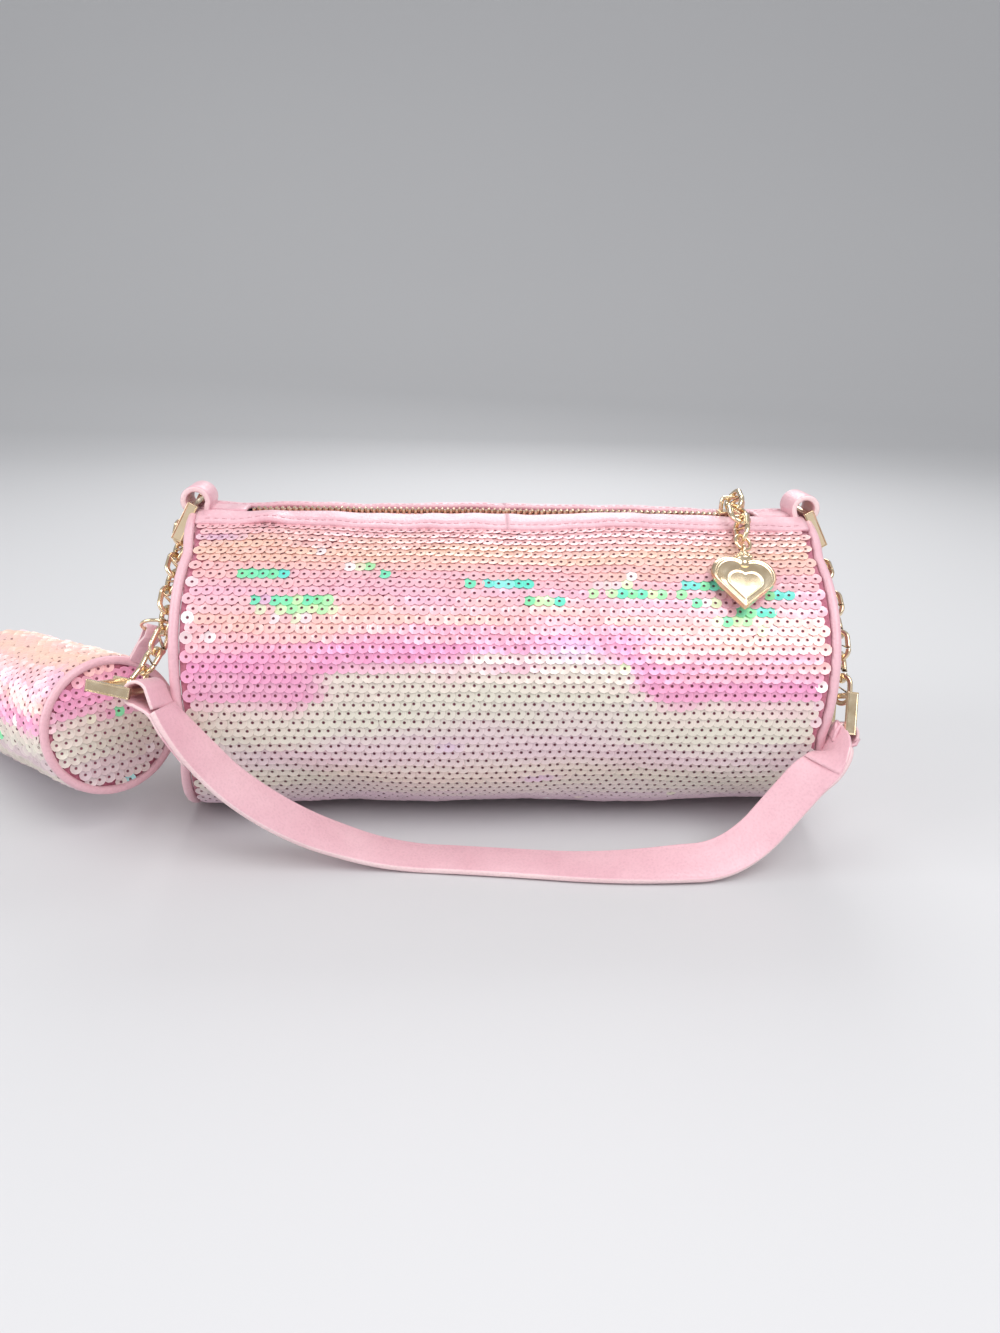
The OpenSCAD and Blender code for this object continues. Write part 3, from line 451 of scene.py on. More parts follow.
rows = int((360 - 2 * band_edge) / math.degrees(row_pitch / barrel_r))
count = int(2 * (barrel_end - 1.2) / disc_pitch)
quarter = {"front": [], "under": [], "rear": []}
for row in range(rows):
    around = band_edge + 1.6 + (360 - 2 * band_edge - 3.2) * row / (rows - 1)
    turn = around if around < 180 else 360 - around
    downward = 1 if around < 180 else -1
    hand.random()  # one draw a row, so that the draws below stay as they are
    for k in range(count):
        x = (k - (count - 1) / 2 + 0.5 * (row % 2) - 0.25) * disc_pitch + hand.normal(0, 0.22)
        if abs(x) > barrel_end - 1.6:
            continue
        angle = around + hand.normal(0, 0.16)
        at = on_barrel(x, angle, -0.95 + hand.uniform(0, 0.12))
        level = on_barrel(x, angle + 1.5) - on_barrel(x, angle - 1.5)
        out = (on_barrel(x + 1.5, angle) - on_barrel(x - 1.5, angle)).cross(level)
        if out.dot(at - Vector((at.x, 0, axis_z * mm))) < 0:
            out = -out
        run = waver(x / 26.0, row * 2.3, 0.4) + 0.5 * waver(x / 60.0, row / 5.0, 9.0)
        glint = 0.0
        # Discs in the glint runs get a painted glint.
        for turn_at, x0, x1, tone_at in glint_runs:
            if around < 180 and abs(turn - turn_at) < 1.66 and x0 < x < x1 and hand.random() < 0.85:
                glint = 1.0 + (tone_at + hand.uniform(-0.16, 0.16)) / 3
        # A few discs anywhere get a painted glint.
        if hand.random() < 0.006:
            glint = 1.0 + hand.random() * 0.16
        tilt, skew = (math.radians(mean + hand.normal(0, by)) for mean, by in ((9, 1.6), (4, 2.2)))
        # Some discs near the ends stand up and get a pale painted glint.
        if abs(x) > barrel_end - 4 and hand.random() < 0.35 and turn > 40:
            tilt += math.radians(hand.uniform(-20, 16))
            glint = 1.0 + hand.uniform(0, 0.14)
        spot = disc_frame(at, out, level * downward, tilt, skew, hand.uniform(0, 0.6))
        where = "front" if around < 122 else "rear" if around > 238 else "under"
        quarter[where].append((spot, film_turn(x, turn), run, glint))
for where, places in quarter.items():
    sewn(f"sequins_{where}", places, "bag")


# The end panels are discs of the same backed cloth, sewn in inside the end seams, with
# their sequins in level rows.
def on_end(side, reach, around):
    """A point of an end panel: how far out from its middle, and round it."""
    seam = on_barrel(side * (barrel_end - 0.2), around, -1.9)
    middle = Vector((side * (barrel_end + 0.3) * mm, 0, axis_z * mm))
    at = middle.lerp(seam, reach)
    at.x = middle.x + (seam.x - middle.x) * reach ** 3
    return at


for side, name in sides:
    bm = grid(18, 96, lambda u, v: on_end(side, u, 360 * v - 180))
    weld(bm)
    thicken(bm, 1.6, Vector((side, 0, 0)))
    piece(f"end_cloth_{name}", bm, cloth, "bag", [f"end_panel_{name}"])
    places = []
    for row in range(34):
        z = 58.5 - row * row_pitch
        half = math.sqrt(max(59.5 ** 2 - z * z, 0))
        for k in range(int(2 * half / disc_pitch) + 1):
            y = -half + (k + 0.5 * (row % 2)) * disc_pitch + hand.normal(0, 0.12)
            rho = math.hypot(y, z)
            if rho > 59.2:
                continue
            around = math.degrees(math.atan2(-y, z))
            at = on_end(side, rho / 61.0, around) + point(side * 0.25, 0, 0)
            if at.z < 3 * mm:
                continue
            run = waver(y / 26, row * 2.3, 3.0 * side) + 0.5 * waver(y / 50, row / 5, 9)
            # Painted glints fall in a band part way up the panel.
            lit = waver(y / 9, row * 1.9, 40 * side) > 0.42 and abs(z - 22) < 14
            glint = 1.0 + hand.random() * 0.33 if lit else 0.0
            spot = disc_frame(at, Vector((side, 0, 0)), Vector((0, 0, -1)), *askew())
            # The painted sheen goes by height: it changes from the top of the panel to the bottom.
            places.append((spot, 0.5 - 0.42 * z / 60, run, glint))
    sewn(f"sequins_end_{name}", places, "bag")


# The leather: soft cowhide, dyed rose right through and lightly glazed, with a fine pebble
# and paler cut edges. It makes the zip bands, the piping, the loops, the tabs and the strap.
def hide(name, dark, light, pebble=0.35, scale=1.0):
    """A dyed, pebbled skin; thread, tape and lining are the same with a finer pebble."""
    made, tree, skin = coated(name, {"Coat Weight": 0.18, "Coat Roughness": 0.3, "Sheen Weight": 0.12})
    cloud = texture(tree, "Noise", 42.0, 5.0).outputs["Fac"]
    cells = texture(tree, "Voronoi", 1050.0 * scale)
    cells.feature = "SMOOTH_F1"
    pores = cells.outputs["Distance"]
    wrinkle = texture(tree, "Noise", 260.0 * scale, 6.0).outputs["Fac"]
    dye = ramp(tree, ((0.30, *dark), (0.72, *light)), cloud)
    # Painted shade: the pebble's hollows, where the bump sinks, are darkened.
    painted_pit_shade = ramp(tree, ((0.0, 0.86, 0.84, 0.85), (0.5, 1)), pores)
    tree.links.new(mix(tree, "MULTIPLY", 0.6, dye, painted_pit_shade), skin.inputs["Base Color"])
    tree.links.new(ramp(tree, ((0.3, 0.34), (0.7, 0.50)), wrinkle), skin.inputs["Roughness"])
    embossed(tree, skin, maths(tree, "MULTIPLY_ADD", wrinkle, 0.8, pores), pebble, 0.4)
    return made


leather = hide("rose_leather", (0.74, 0.415, 0.475), (0.83, 0.51, 0.565))
pale_leather = hide("pale_cut_edge", (0.84, 0.58, 0.60), (0.90, 0.68, 0.69), 0.5)
thread = hide("rose_thread", (0.64, 0.33, 0.38), (0.72, 0.40, 0.45), 0.6, 3.0)

# The zip bands: a folded strip of leather on each side of the zip, puffed by its filler,
# with a seam at its lower edge and two rows of stitching. Their ends are sewn shut.
band_lip = 4.95
zip_quarters = [(way, name, side, end) for way, name in ((1, "front"), (-1, "rear")) for side, end in sides]


def on_flap(made, name):
    """Bakes the placing of a piece of the zip's edge into its mesh."""
    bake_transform(made)


def band_rise(x, around):
    across = (abs(around) - band_lip) / (band_edge - band_lip)
    across = min(max(across, 0), 1)
    puff = (0.75 if around < 0 else 0.5) * (1 - (2 * across - 1) ** 4)
    lip = 1.1 * math.exp(-(across / 0.2) ** 2) if around > 0 else 0
    groove = 0.35 * math.exp(-((across - 0.12) / 0.05) ** 2) + 0.35 * math.exp(-((across - 0.86) / 0.05) ** 2)
    wave = 0.55 * waver(x / 9.0, around / 14.0, 3.0)
    bulge = 1.4 * math.exp(-((x + 92) / 7.0) ** 2) * across if around > 0 else 0
    return 0.25 + puff - groove + wave - lip + bulge


def open_middle(bm):
    """Takes away the faces in the middle plane, where two halves of one strip meet."""
    inner = [f for f in bm.faces if all(abs(v.co.x) < 0.00001 for v in f.verts)]
    bmesh.ops.delete(bm, geom=inner, context="FACES_ONLY")


for way, name, side, end in zip_quarters:
    bm = wrapped(72, 16, 0, side * (barrel_end - 0.1), way * (band_lip + 0.05), way * (band_edge + 0.6),
        band_rise, 1.9)
    open_middle(bm)
    on_flap(piece(f"band_{name}_{end}", bm, leather, None, [f"mouth_{name}"]), name)

# The stitching on the bands: waxed thread, one stitch every three millimetres.
bm = bmesh.new()
bmesh.ops.create_icosphere(bm, subdivisions=1, radius=1)
bmesh.ops.scale(bm, vec=point(1.15, 0.30, 0.24), verts=bm.verts)
stitch = meshed("one_stitch", bm)
for way, name, side, end in zip_quarters:
    frames = []
    for share in (0.12, 0.86):
        around = way * (band_lip + share * (band_edge - band_lip))
        for k in range(38):
            x = side * (2.0 + 3.05 * k)
            at = on_barrel(x, around, band_rise(x, around) + 0.12)
            before, after = (on_barrel(x + by, around, band_rise(x + by, around)) for by in (-1, 1))
            frames.append(facing(at, after - before, at - Vector((at.x, 0, axis_z * mm))))
    on_flap(piece(f"stitches_{name}_{end}", repeated(stitch, frames), thread, None), name)

# The ends of the zip: a patch of the same leather over the tape, between the two bands.
# Each is caught in the end seam with the bands' ends.
for side, end in sides:
    bm = wrapped(14, 12, side * 102.6, side * (barrel_end - 0.1), -band_lip - 0.3, band_lip + 0.3,
        lambda x, around: 0.1 + 0.3 * waver(x / 5.0, around / 6.0, 8.0), 1.6)
    piece(f"zip_stop_{end}", bm, leather, "bag", [f"zip_end_{end}"])

# The zip: two rose tapes, each with a corded edge and a row of stamped teeth plated in
# pale gold. The teeth of the two rows stand between each other.
plating, nt, gold = coated("pale_gold_plating", {"Metallic": 1.0})
haze = texture(nt, "Noise", 190.0, 6.0).outputs["Fac"]
nt.links.new(ramp(nt, ((0.35, 0.80, 0.62, 0.40), (0.7, 0.88, 0.73, 0.52)), haze), gold.inputs["Base Color"])
nt.links.new(ramp(nt, ((0.3, 0.14), (0.75, 0.27)), haze), gold.inputs["Roughness"])
embossed(nt, gold, haze, 0.12, 0.3)
tape = hide("zip_tape", (0.62, 0.27, 0.34), (0.72, 0.34, 0.41), 0.7, 1.6)
tooth_pitch, tooth_top, slider_x = 2.4, 62.6, 94.5


def zip_sway(x):
    quiet = min(abs(abs(x) - slider_x) / 14, 1)
    return (0.35 * ripple(x, 0) + 0.6) * quiet


bm = bmesh.new()
block(bm, (1.25, 2.7, 2.0))
bevelled(bm, 0.32, 1)
tooth = meshed("one_tooth", bm)
for way, name, side, end in zip_quarters:
    frames = []
    for k in range(43):
        x = side * (0.6 + k * tooth_pitch) + (0.5 * tooth_pitch if way < 0 else 0)
        if abs(x) <= 102.4:
            at = point(x, -way * 1.5, axis_z + tooth_top - 1.0 + zip_sway(x))
            frames.append(Matrix.Translation(at) @ Matrix.Rotation(-way * 0.05, 4, "X"))
    made = piece(f"teeth_{name}_{end}", repeated(tooth, frames), plating, None,
        [f"zip_teeth_{name}", "zip_end_teeth"], False)
    on_flap(made, name)

    def shape(u, v):
        x, y = side * 102.8 * u, 1.0 + 8.6 * v
        cord = 0.45 * math.exp(-((y - 1.9) / 0.9) ** 2)
        z = math.sqrt((tooth_top - 1.8 + cord) ** 2 - y * y) + zip_sway(x) * max(1 - y / 9.6, 0)
        return point(x, -way * y, axis_z + z)

    bm = thicken(grid(60, 6, shape), 0.6, Vector((0, 0, 1)))
    open_middle(bm)
    on_flap(piece(f"tape_{name}_{end}", bm, tape, None), name)

# The lining: plain woven cloth, a loose tube with a disc at each end, sewn to the zip tapes.
# It hangs a little inside the outer cloth.
lining_cloth = hide("blush_lining", (0.70, 0.46, 0.48), (0.80, 0.56, 0.58), 0.5, 1.4)
bm = wrapped(48, 90, -115.4, 115.4, band_edge + 0.9, 359.1 - band_edge, -3.6, 0.5)
piece("lining_tube", bm, lining_cloth, "bag", ["lining"])
for side, end in sides:
    bm = grid(10, 60, lambda u, v: on_end(side, 0.97 * u, 360 * v - 180) - point(side * 3.1, 0, 0))
    weld(bm)
    piece(f"lining_end_{end}", thicken(bm, 0.5), lining_cloth, "bag", ())

# The piping: a leather strip rolled over a cord and caught in each end seam. Its two ends
# meet the foot of the ring loop at the top.
piping_r = 1.9
for side, end in sides:
    def shape(u, v):
        around, round_cord = 9.3 + 345.1 * u, math.pi * (2 * v - 1)
        out = Vector((0, -math.sin(math.radians(around)), math.cos(math.radians(around))))
        fat = piping_r * (1 + 0.05 * waver(around / 4.0, side, 0))
        at = on_barrel(side * barrel_end, around, -piping_r) + point(side * (piping_r + 0.1), 0, 0)
        at += (Vector((1, 0, 0)) * math.cos(round_cord) + out * math.sin(round_cord)) * fat * mm
        at.z = max(at.z, 0.15 * mm)
        return at

    bm = grid(200, 14, shape)
    weld(bm, filled=True)
    piece(f"piping_roll_{end}", bm, leather, "bag", [f"piping_{end}"])

# The leather straps and loops are cut as strips, two plies thick, with their long edges
# trimmed and left pale, and a pressed line just inside each edge.
strip_section = ((-1, -0.35), (-1, 0), (-1, 0.35), (-0.975, 0.85), (-0.94, 1.0), (-0.86, 0.86), (-0.78, 1.0),
    (-0.3, 1.05), (0.3, 1.05), (0.78, 1.0), (0.86, 0.86), (0.94, 1.0), (0.975, 0.85), (1, 0.35), (1, 0),
    (1, -0.35), (0.975, -0.85), (0.94, -1.0), (0.3, -1.0), (-0.3, -1.0), (-0.94, -1.0), (-0.975, -0.85))


def catmull(rows, per):
    """Points evenly spread on a smooth line through the rows."""
    rows = np.array(rows, float)
    ends = np.vstack([2 * rows[0] - rows[1], rows, 2 * rows[-1] - rows[-2]])
    line = []
    for i in range(len(rows) - 1):
        a, b, c, d = ends[i:i + 4]
        for t in np.arange(per) / per:
            line.append(b + t / 2 * (c - a + t * (2 * a - 5 * b + 4 * c - d + t * (3 * (b - c) + d - a))))
    return np.vstack([line, rows[-1]])


def strip(name, rows, width, thick, body, hidden=(), per=6):
    """A leather strip along rows of place and width direction."""
    line = catmull(rows, per)
    count, around = len(line) - 1, len(strip_section)
    along = np.gradient(line[:, :3], axis=0)

    def shape(u, v):
        k = round(u * count)
        across, up = strip_section[round(v * around) % around]
        ahead_k = Vector(along[k]).normalized()
        wide = Vector(line[k, 3:6])
        wide = (wide - wide.dot(ahead_k) * ahead_k).normalized()
        at = Vector(line[k, :3]) + wide * across * width / 2 + ahead_k.cross(wide) * up * thick / 2
        return at * mm

    bm = grid(count, around, shape)
    weld(bm, 0.00001, True)
    bm.normal_update()
    made = piece(name, bm, leather, body, hidden)
    made.data.materials.append(pale_leather)
    middle = [Vector(p) * mm for p in line[:, :3]]
    for poly in made.data.polygons:
        k = min(range(count + 1), key=lambda i: (middle[i] - poly.center).length_squared)
        if abs((poly.center - middle[k]).dot(Vector(line[k, 3:6]).normalized())) > 0.488 * width * mm:
            poly.material_index = 1


# The ring loops: a strip folded over the ring's rod, with both ends caught in the end seam.
# The fold stands up above the barrel and leans outwards with the ring.
loop_mid = 4.75
for side, end in sides:
    rows = [(side * 120.5, -2, 110.6), (side * 120.5, -2, 115), (side * 119.9, -2, 120)]
    for turn in (205, 180, 150, 120, 90, 60, 30, 0, -25, -48):
        a = math.radians(turn)
        rows.append((side * (122.6 + loop_mid * math.cos(a)), -2, 127.6 + loop_mid * math.sin(a)))
    rows += [(side * 123.4, -2, 120.5), (side * 122.9, -2, 115.5), (side * 122.9, -2, 110.6)]
    rows = [(*row, 0, 1, 0) for row in rows]
    strip(f"ring_loop_{end}", rows, 15.2, 2.2, "bag", [f"tab_{end}"])

# The side tabs: a short strip bent into a half ring on each end panel, to hold the bag by
# while the zip is pulled. Its feet are sewn on, and a dome rivet sits at its crown.
bm = bmesh.new()
turned(bm, ((0, 0, 1.5), (1.5, 0, 1.42), (2.6, 0, 1.1), (3.3, 0, 0.6), (3.5, 0, 0.1), (3.4, 0, 0)))
weld(bm, 0.00001, True)
rivet_cap = meshed("one_rivet", bm)
rivet_frames = []
for side, end, y, z in ((-1, "left", 15.0, 93.3), (1, "right", -9.0, 68.1)):
    rows = [(side * 120.5, y, z + 22.4), (side * 120.6, y, z + 19.5)]
    for turn in (74, 60, 45, 30, 15, 0, -15, -30, -45, -60, -74):
        a = math.radians(turn)
        rows.append((side * (119.2 + 16.7 * math.cos(a)), y, z + 16.7 * math.sin(a)))
    rows += [(side * 120.6, y, z - 19.5), (side * 120.5, y, z - 22.4)]
    rows = [(*row, 0, 1, 0) for row in rows]
    strip(f"side_strip_{end}", rows, 14, 2.4, "bag", [f"side_tab_{end}"])
    for depth, way in ((18.0, 1), (15.3, -1)):
        upright = Vector((side * way, 0, 0)).to_track_quat("Z", "Y").to_matrix().to_4x4()
        rivet_frames.append(Matrix.Translation(point(side * (119.2 + depth), y, z)) @ upright)
piece("rivet_domes", repeated(rivet_cap, rivet_frames), plating, "bag", ["rivets"])

# The rectangular rings: two round rods between two flat cast plates. Each plate has a
# shallow bare panel on its outer face.
lean_x, lean_z = math.sin(math.radians(29)), math.cos(math.radians(29))
left_rod_dir = Vector((0.190181, 0.940894, -0.280266))
left_ring_dir = Vector((0.965726, -0.230658, -0.119036))
right_ring_dir = Vector((-0.1, -0.4, -0.91)).normalized()
right_rod_dir = (Vector((0, 1, 0)) - right_ring_dir * right_ring_dir.y).normalized()
ring_stands = {
    "upper_ring_left": stand((-123.57, -2, 125.839), (-lean_x, 0, -lean_z), (-lean_z, 0, lean_x)),
    "upper_ring_right": stand((123.57, -2, 125.839), (lean_x, 0, -lean_z), (lean_z, 0, lean_x)),
    "lower_ring_left": stand((-146.901, -64.0226, 71.9941), left_ring_dir,
        left_rod_dir.cross(left_ring_dir)),
    "lower_ring_right": stand((130.357, -51.7145, 62.5133), right_ring_dir,
        right_rod_dir.cross(right_ring_dir)),
}
for name, place_at in ring_stands.items():
    bm = bmesh.new()
    for way in (-1, 1):
        verts = block(bm, (4.2, 1.6, 16.4), (0, way * 9.2, 7.0))
        bm.normal_update()
        outer = [f for f in {f for v in verts for f in v.link_faces} if f.normal.y * way > 0.9]
        bmesh.ops.inset_region(bm, faces=outer, thickness=0.6 * mm, depth=0)
        bmesh.ops.inset_region(bm, faces=outer, thickness=0.12 * mm, depth=-0.22 * mm)
    bevelled(bm, 0.16, 2)
    for z in (0, 14.0):
        bmesh.ops.create_cone(bm, cap_ends=True, segments=20, radius1=1.2 * mm, radius2=1.2 * mm,
            depth=18.2 * mm, matrix=Matrix.Translation((0, 0, z * mm)) @ Matrix.Rotation(math.pi / 2, 4, "X"))
    bm.transform(place_at)
    piece(name.replace("ring", "frame"), bm, plating, name, [name], False)


# The chains: curb links of round wire, pressed and ground flat on both faces, plated in
# pale gold. The same links, larger, carry the heart on the zip.
def link(name, start, finish, roll, width, wire, body, slack=0.0):
    """A link from joint to joint, which lets the wire of its neighbours pass; slack is extra."""
    start, finish = Vector(start), Vector(finish)
    ahead_l = (finish - start).normalized()
    start = start - ahead_l * slack
    pitch_l = (finish - start).length
    bend = (width - wire) / 2
    half = (pitch_l + wire + 0.12) / 2 - bend
    arc = math.pi * bend
    whole = 2 * (arc + 2 * half)

    def shape(u, v):
        s = u * whole
        side = 1 if s < whole / 2 else -1
        s = s % (whole / 2)
        centre, out = Vector((-bend, half - (s - arc))), Vector((-1, 0))
        if s < arc:
            out = Vector((math.cos(s / bend), math.sin(s / bend)))
            centre = out * bend + Vector((0, half))
        b = math.pi * (2 * v - 1)
        at = (centre + out * math.cos(b) * wire / 2) * side
        ground = max(min(math.sin(b), 0.8), -0.8) * wire / 2
        twist = Matrix.Rotation(math.radians(4.0) * at.y / (half + bend), 3, "Z")
        return twist @ point(at.x, ground, at.y)

    bm = grid(56, 16, shape)
    weld(bm, 0.00001)
    bm.transform(stand(start, ahead_l, (1, 0, 0)) @ Matrix.Rotation(math.radians(roll), 4, "Z")
        @ Matrix.Translation((0, 0, pitch_l / 2 * mm)))
    piece(name, bm, plating, body, [body])


right_joints = ((130.36, 0.97, 116.27), (130.36, -5.57, 110.38), (130.36, -13.03, 105.72),
    (130.36, -20.65, 101.32), (130.36, -27.95, 96.4), (130.36, -34.69, 90.74), (130.36, -40.58, 84.2),
    (130.36, -45.5, 76.91), (130.36, -49.35, 69.0), (130.36, -52.36, 60.73))
left_joints = tuple((-x, y, z) for x, y, z in right_joints[:7]) + (
    (-132.63, -46.59, 78.19), (-135.64, -52.53, 72.45), (-139.36, -58.55, 67.21))
rolls = {"left": (-45, 45, -45, 45, -45, 45, -66, 29, 98), "right": (45, -45, 45, -45, 45, -45, 45, -45, 45)}
for end, joints in (("left", left_joints), ("right", right_joints)):
    for k, roll_k in enumerate(rolls[end]):
        link(f"{end}_curb_{k + 1}", joints[k], joints[k + 1], roll_k, 8.6, 2.0, f"{end}_link_{k + 1}")

# The zip charm: three large curb links and a round jump ring on the slider's bar, then a
# beaded cap and a hollow heart, stamped with a rim and filled out like a cushion.
charm_joints = ((slider_x, 0, 130.443), (93.3, -11.3467, 128.235), (91.8, -22.3752, 125.402),
    (90.15, -32.7763, 120.768))
for k, roll_k in enumerate((60, -20, 70)):
    link(f"charm_curb_{k + 1}", charm_joints[k], charm_joints[k + 1], roll_k, 9.6, 2.2, f"pull_link_{k + 1}",
        0.0 if k else 1.32)
charm_top, heart_c, heart_w = Vector((89.25, -36.886, 117.778)), Vector((87.0, -51.3945, 104.328)), 25.0
lobe = heart_w / (2 + math.sqrt(2))


def heart_edge(a):
    """How far the heart's outline lies from its middle, on the ray at an angle."""
    ray = Vector((math.cos(a), math.sin(a)))
    for step in range(400, 0, -1):
        p = ray * step * heart_w / 500 - Vector((0, lobe * 0.35))
        q = Vector((p.x + p.y, p.y - p.x)) * math.sqrt(0.5)
        off_lobes = min((q - Vector(at)).length for at in ((0, lobe), (lobe, 0)))
        if max(abs(q.x), abs(q.y)) < lobe or off_lobes < lobe:
            return step * heart_w / 500
    return 0


edges_at = np.array([heart_edge(2 * math.pi * k / 120) for k in range(121)])
edges_at = (np.roll(edges_at[:-1], 1) + 2 * edges_at[:-1] + np.roll(edges_at[:-1], -1)) / 4
edges_at = np.append(edges_at, edges_at[0])
heart_reach = (0, 0.12, 0.24, 0.36, 0.46, 0.50, 0.54, 0.58, 0.62, 0.68, 0.74, 0.78, 0.81, 0.84, 0.87,
    0.90, 0.93, 0.955, 0.975, 0.99, 1.0, 1.0, 0.99, 0.94, 0.7, 0.4, 0)


def heart_shape(u, v):
    k, a = round(u * 26), round(v * 120)
    rho = heart_reach[k]
    if k <= 20:
        h = 0.9 + 1.35 * (1 - rho ** 2.2) if rho < 0.82 else 0.9
        h += 0.30 * math.exp(-((rho - 0.55) / 0.025) ** 2)
        h += 0.85 * math.exp(-((rho - 0.90) / 0.05) ** 2) - 0.75 * max(rho - 0.955, 0) / 0.045
    else:
        h = -0.6 - 1.2 * (1 - rho ** 3)
    ang, r = 2 * math.pi * a / 120, edges_at[a] * rho
    return point(r * math.cos(ang), h, -r * math.sin(ang))


bm = grid(26, 120, heart_shape)
weld(bm, 0.00001)
down_c = (heart_c - charm_top).normalized()
out_c = Vector((0, heart_c.y, heart_c.z - axis_z))
out_c = (out_c - out_c.dot(down_c) * down_c).normalized()
hang = stand(charm_top, down_c, out_c.cross(down_c))
bm.transform(hang @ Matrix.Translation((0, 0, (heart_c - charm_top).length * mm)))
piece("charm_heart", bm, plating, "heart", ["heart_charm"])
bm = bmesh.new()
turned(bm, ((0, 0, 2.9), (2.0, 0, 2.95), (2.5, 0, 3.3), (2.3, 0, 3.8), (2.1, 0, 4.1), (2.9, 0, 4.9),
    (3.3, 0, 5.8), (3.2, 0, 6.5), (2.4, 0, 7.0), (2.1, 0, 7.6), (2.2, 0, 9.4), (0, 0, 9.5)))
weld(bm, 0.00001)
for k in range(12):
    a = 2 * math.pi * k / 12
    bmesh.ops.create_uvsphere(bm, u_segments=10, v_segments=7, radius=0.85 * mm,
        matrix=Matrix.Translation(point(2.75 * math.cos(a), 2.75 * math.sin(a), 4.9)))
ring = bmesh.ops.create_circle(bm, segments=12, radius=0.6 * mm,
    matrix=Matrix.Translation((2.0 * mm, 0, 0)) @ Matrix.Rotation(math.pi / 2, 4, "X"))
ring_edges = [e for e in bm.edges if e.is_boundary or not e.link_faces]
bmesh.ops.spin(bm, geom=ring["verts"] + ring_edges, **around_z)
ring_verts = [v for v in bm.verts if math.hypot(math.hypot(v.co.x, v.co.y) - 2.0 * mm, v.co.z) < 0.62 * mm]
bmesh.ops.rotate(bm, cent=(0, 0, 0), matrix=Matrix.Rotation(math.pi / 2, 3, "Y"), verts=ring_verts)
bmesh.ops.translate(bm, vec=(0, 0, 1.36 * mm), verts=ring_verts)
bm.transform(hang)
piece("charm_cap", bm, plating, "heart", ["heart_charm"])

# The slider: a cast shield-shaped plate above the teeth and one below, joined by a post,
# with a bar bridged over the top plate for the charm.
bm = bmesh.new()
for low in (62.45, 57.45):
    for v in block(bm, (11.0, 9.0, 1.3), (slider_x, 0, axis_z + low + 0.65)):
        if v.co.x < slider_x * mm:
            v.co.y *= 0.72
for way in (-1, 1):
    block(bm, (7.0, 0.8, 1.3), (slider_x + 1.3, way * 4.0, axis_z + 62.2))
bevelled(bm, 0.35, 2)
block(bm, (3.6, 0.9, 5.2), (slider_x, 0, axis_z + 60.6))
bow = catmull([(90.1, 63.4), (90.05, 66.6), (90.4, 68.4), (91.4, 69.15), (94.5, 69.25), (97.6, 69.15),
    (98.6, 68.4), (98.95, 66.6), (98.9, 63.4)], 5)
bow_along = np.gradient(bow, axis=0)


def bow_shape(u, v):
    k, b = round(u * (len(bow) - 1)), math.pi * (2 * v - 1)
    go = Vector(bow_along[k]).normalized()
    lift = 0.9 * math.cos(b)
    return point(bow[k][0] - go.y * lift, 0.9 * math.sin(b), axis_z + bow[k][1] + go.x * lift)


tube = grid(len(bow) - 1, 12, bow_shape)
weld(tube, 0.00001)
bm.from_mesh(meshed("slider_bow", tube))
piece("zip_slider", bm, plating, "slider", ["slider"], False)

# The shoulder strap: one long leather strip, folded over a ring rod at each end and sewn
# back on itself. It lies flat on the table in front and stands on its edge at the right.
strap_rows = (
    (-125.2, -70.4, 65.3, 0.18, 0.97, -0.15), (-120.6, -72.2, 58.9, 0.27, 0.96, -0.01),
    (-113.0, -73.5, 49.1, 0.32, 0.93, 0.19), (-102.8, -73.8, 37.2, 0.27, 0.91, 0.31),
    (-90.0, -72.6, 25.8, 0.20, 0.90, 0.38), (-76.8, -70.8, 16.6, 0.09, 0.92, 0.39),
    (-63.8, -68.9, 9.8, 0.04, 0.95, 0.30), (-50.1, -68.0, 4.6, 0.03, 0.98, 0.19),
    (-35.3, -68.7, 2.2, 0.10, 0.99, 0.10), (-19.5, -70.6, 2.2, 0.12, 0.99, 0.08),
    (-3.7, -72.6, 2.2, 0.13, 0.99, 0.08), (11.0, -74.7, 2.3, 0.15, 0.98, 0.09),
    (24.7, -76.8, 2.6, 0.13, 0.98, 0.13), (38.7, -78.4, 3.2, 0.08, 0.98, 0.21),
    (52.4, -79.4, 4.1, 0.03, 0.95, 0.32), (65.3, -79.9, 5.2, -0.03, 0.89, 0.45),
    (75.7, -79.4, 5.8, -0.15, 0.85, 0.50), (85.3, -78.1, 8.9, -0.40, 0.78, 0.48),
    (94.2, -76.1, 14.8, -0.55, 0.71, 0.45), (101.0, -74.5, 22.3, -0.63, 0.67, 0.39),
    (107.3, -73.2, 30.0, -0.62, 0.66, 0.41), (113.2, -72.2, 37.0, -0.56, 0.70, 0.44),
    (118.0, -71.5, 40.8, -0.42, 0.85, 0.32), (122.0, -69.5, 43.7, -0.54, 0.83, -0.16),
    (125.0, -66.7, 46.0, -0.37, 0.78, -0.51))
strip("shoulder_strap", strap_rows, 16, 2.5, "strap", ["strap"], 7)
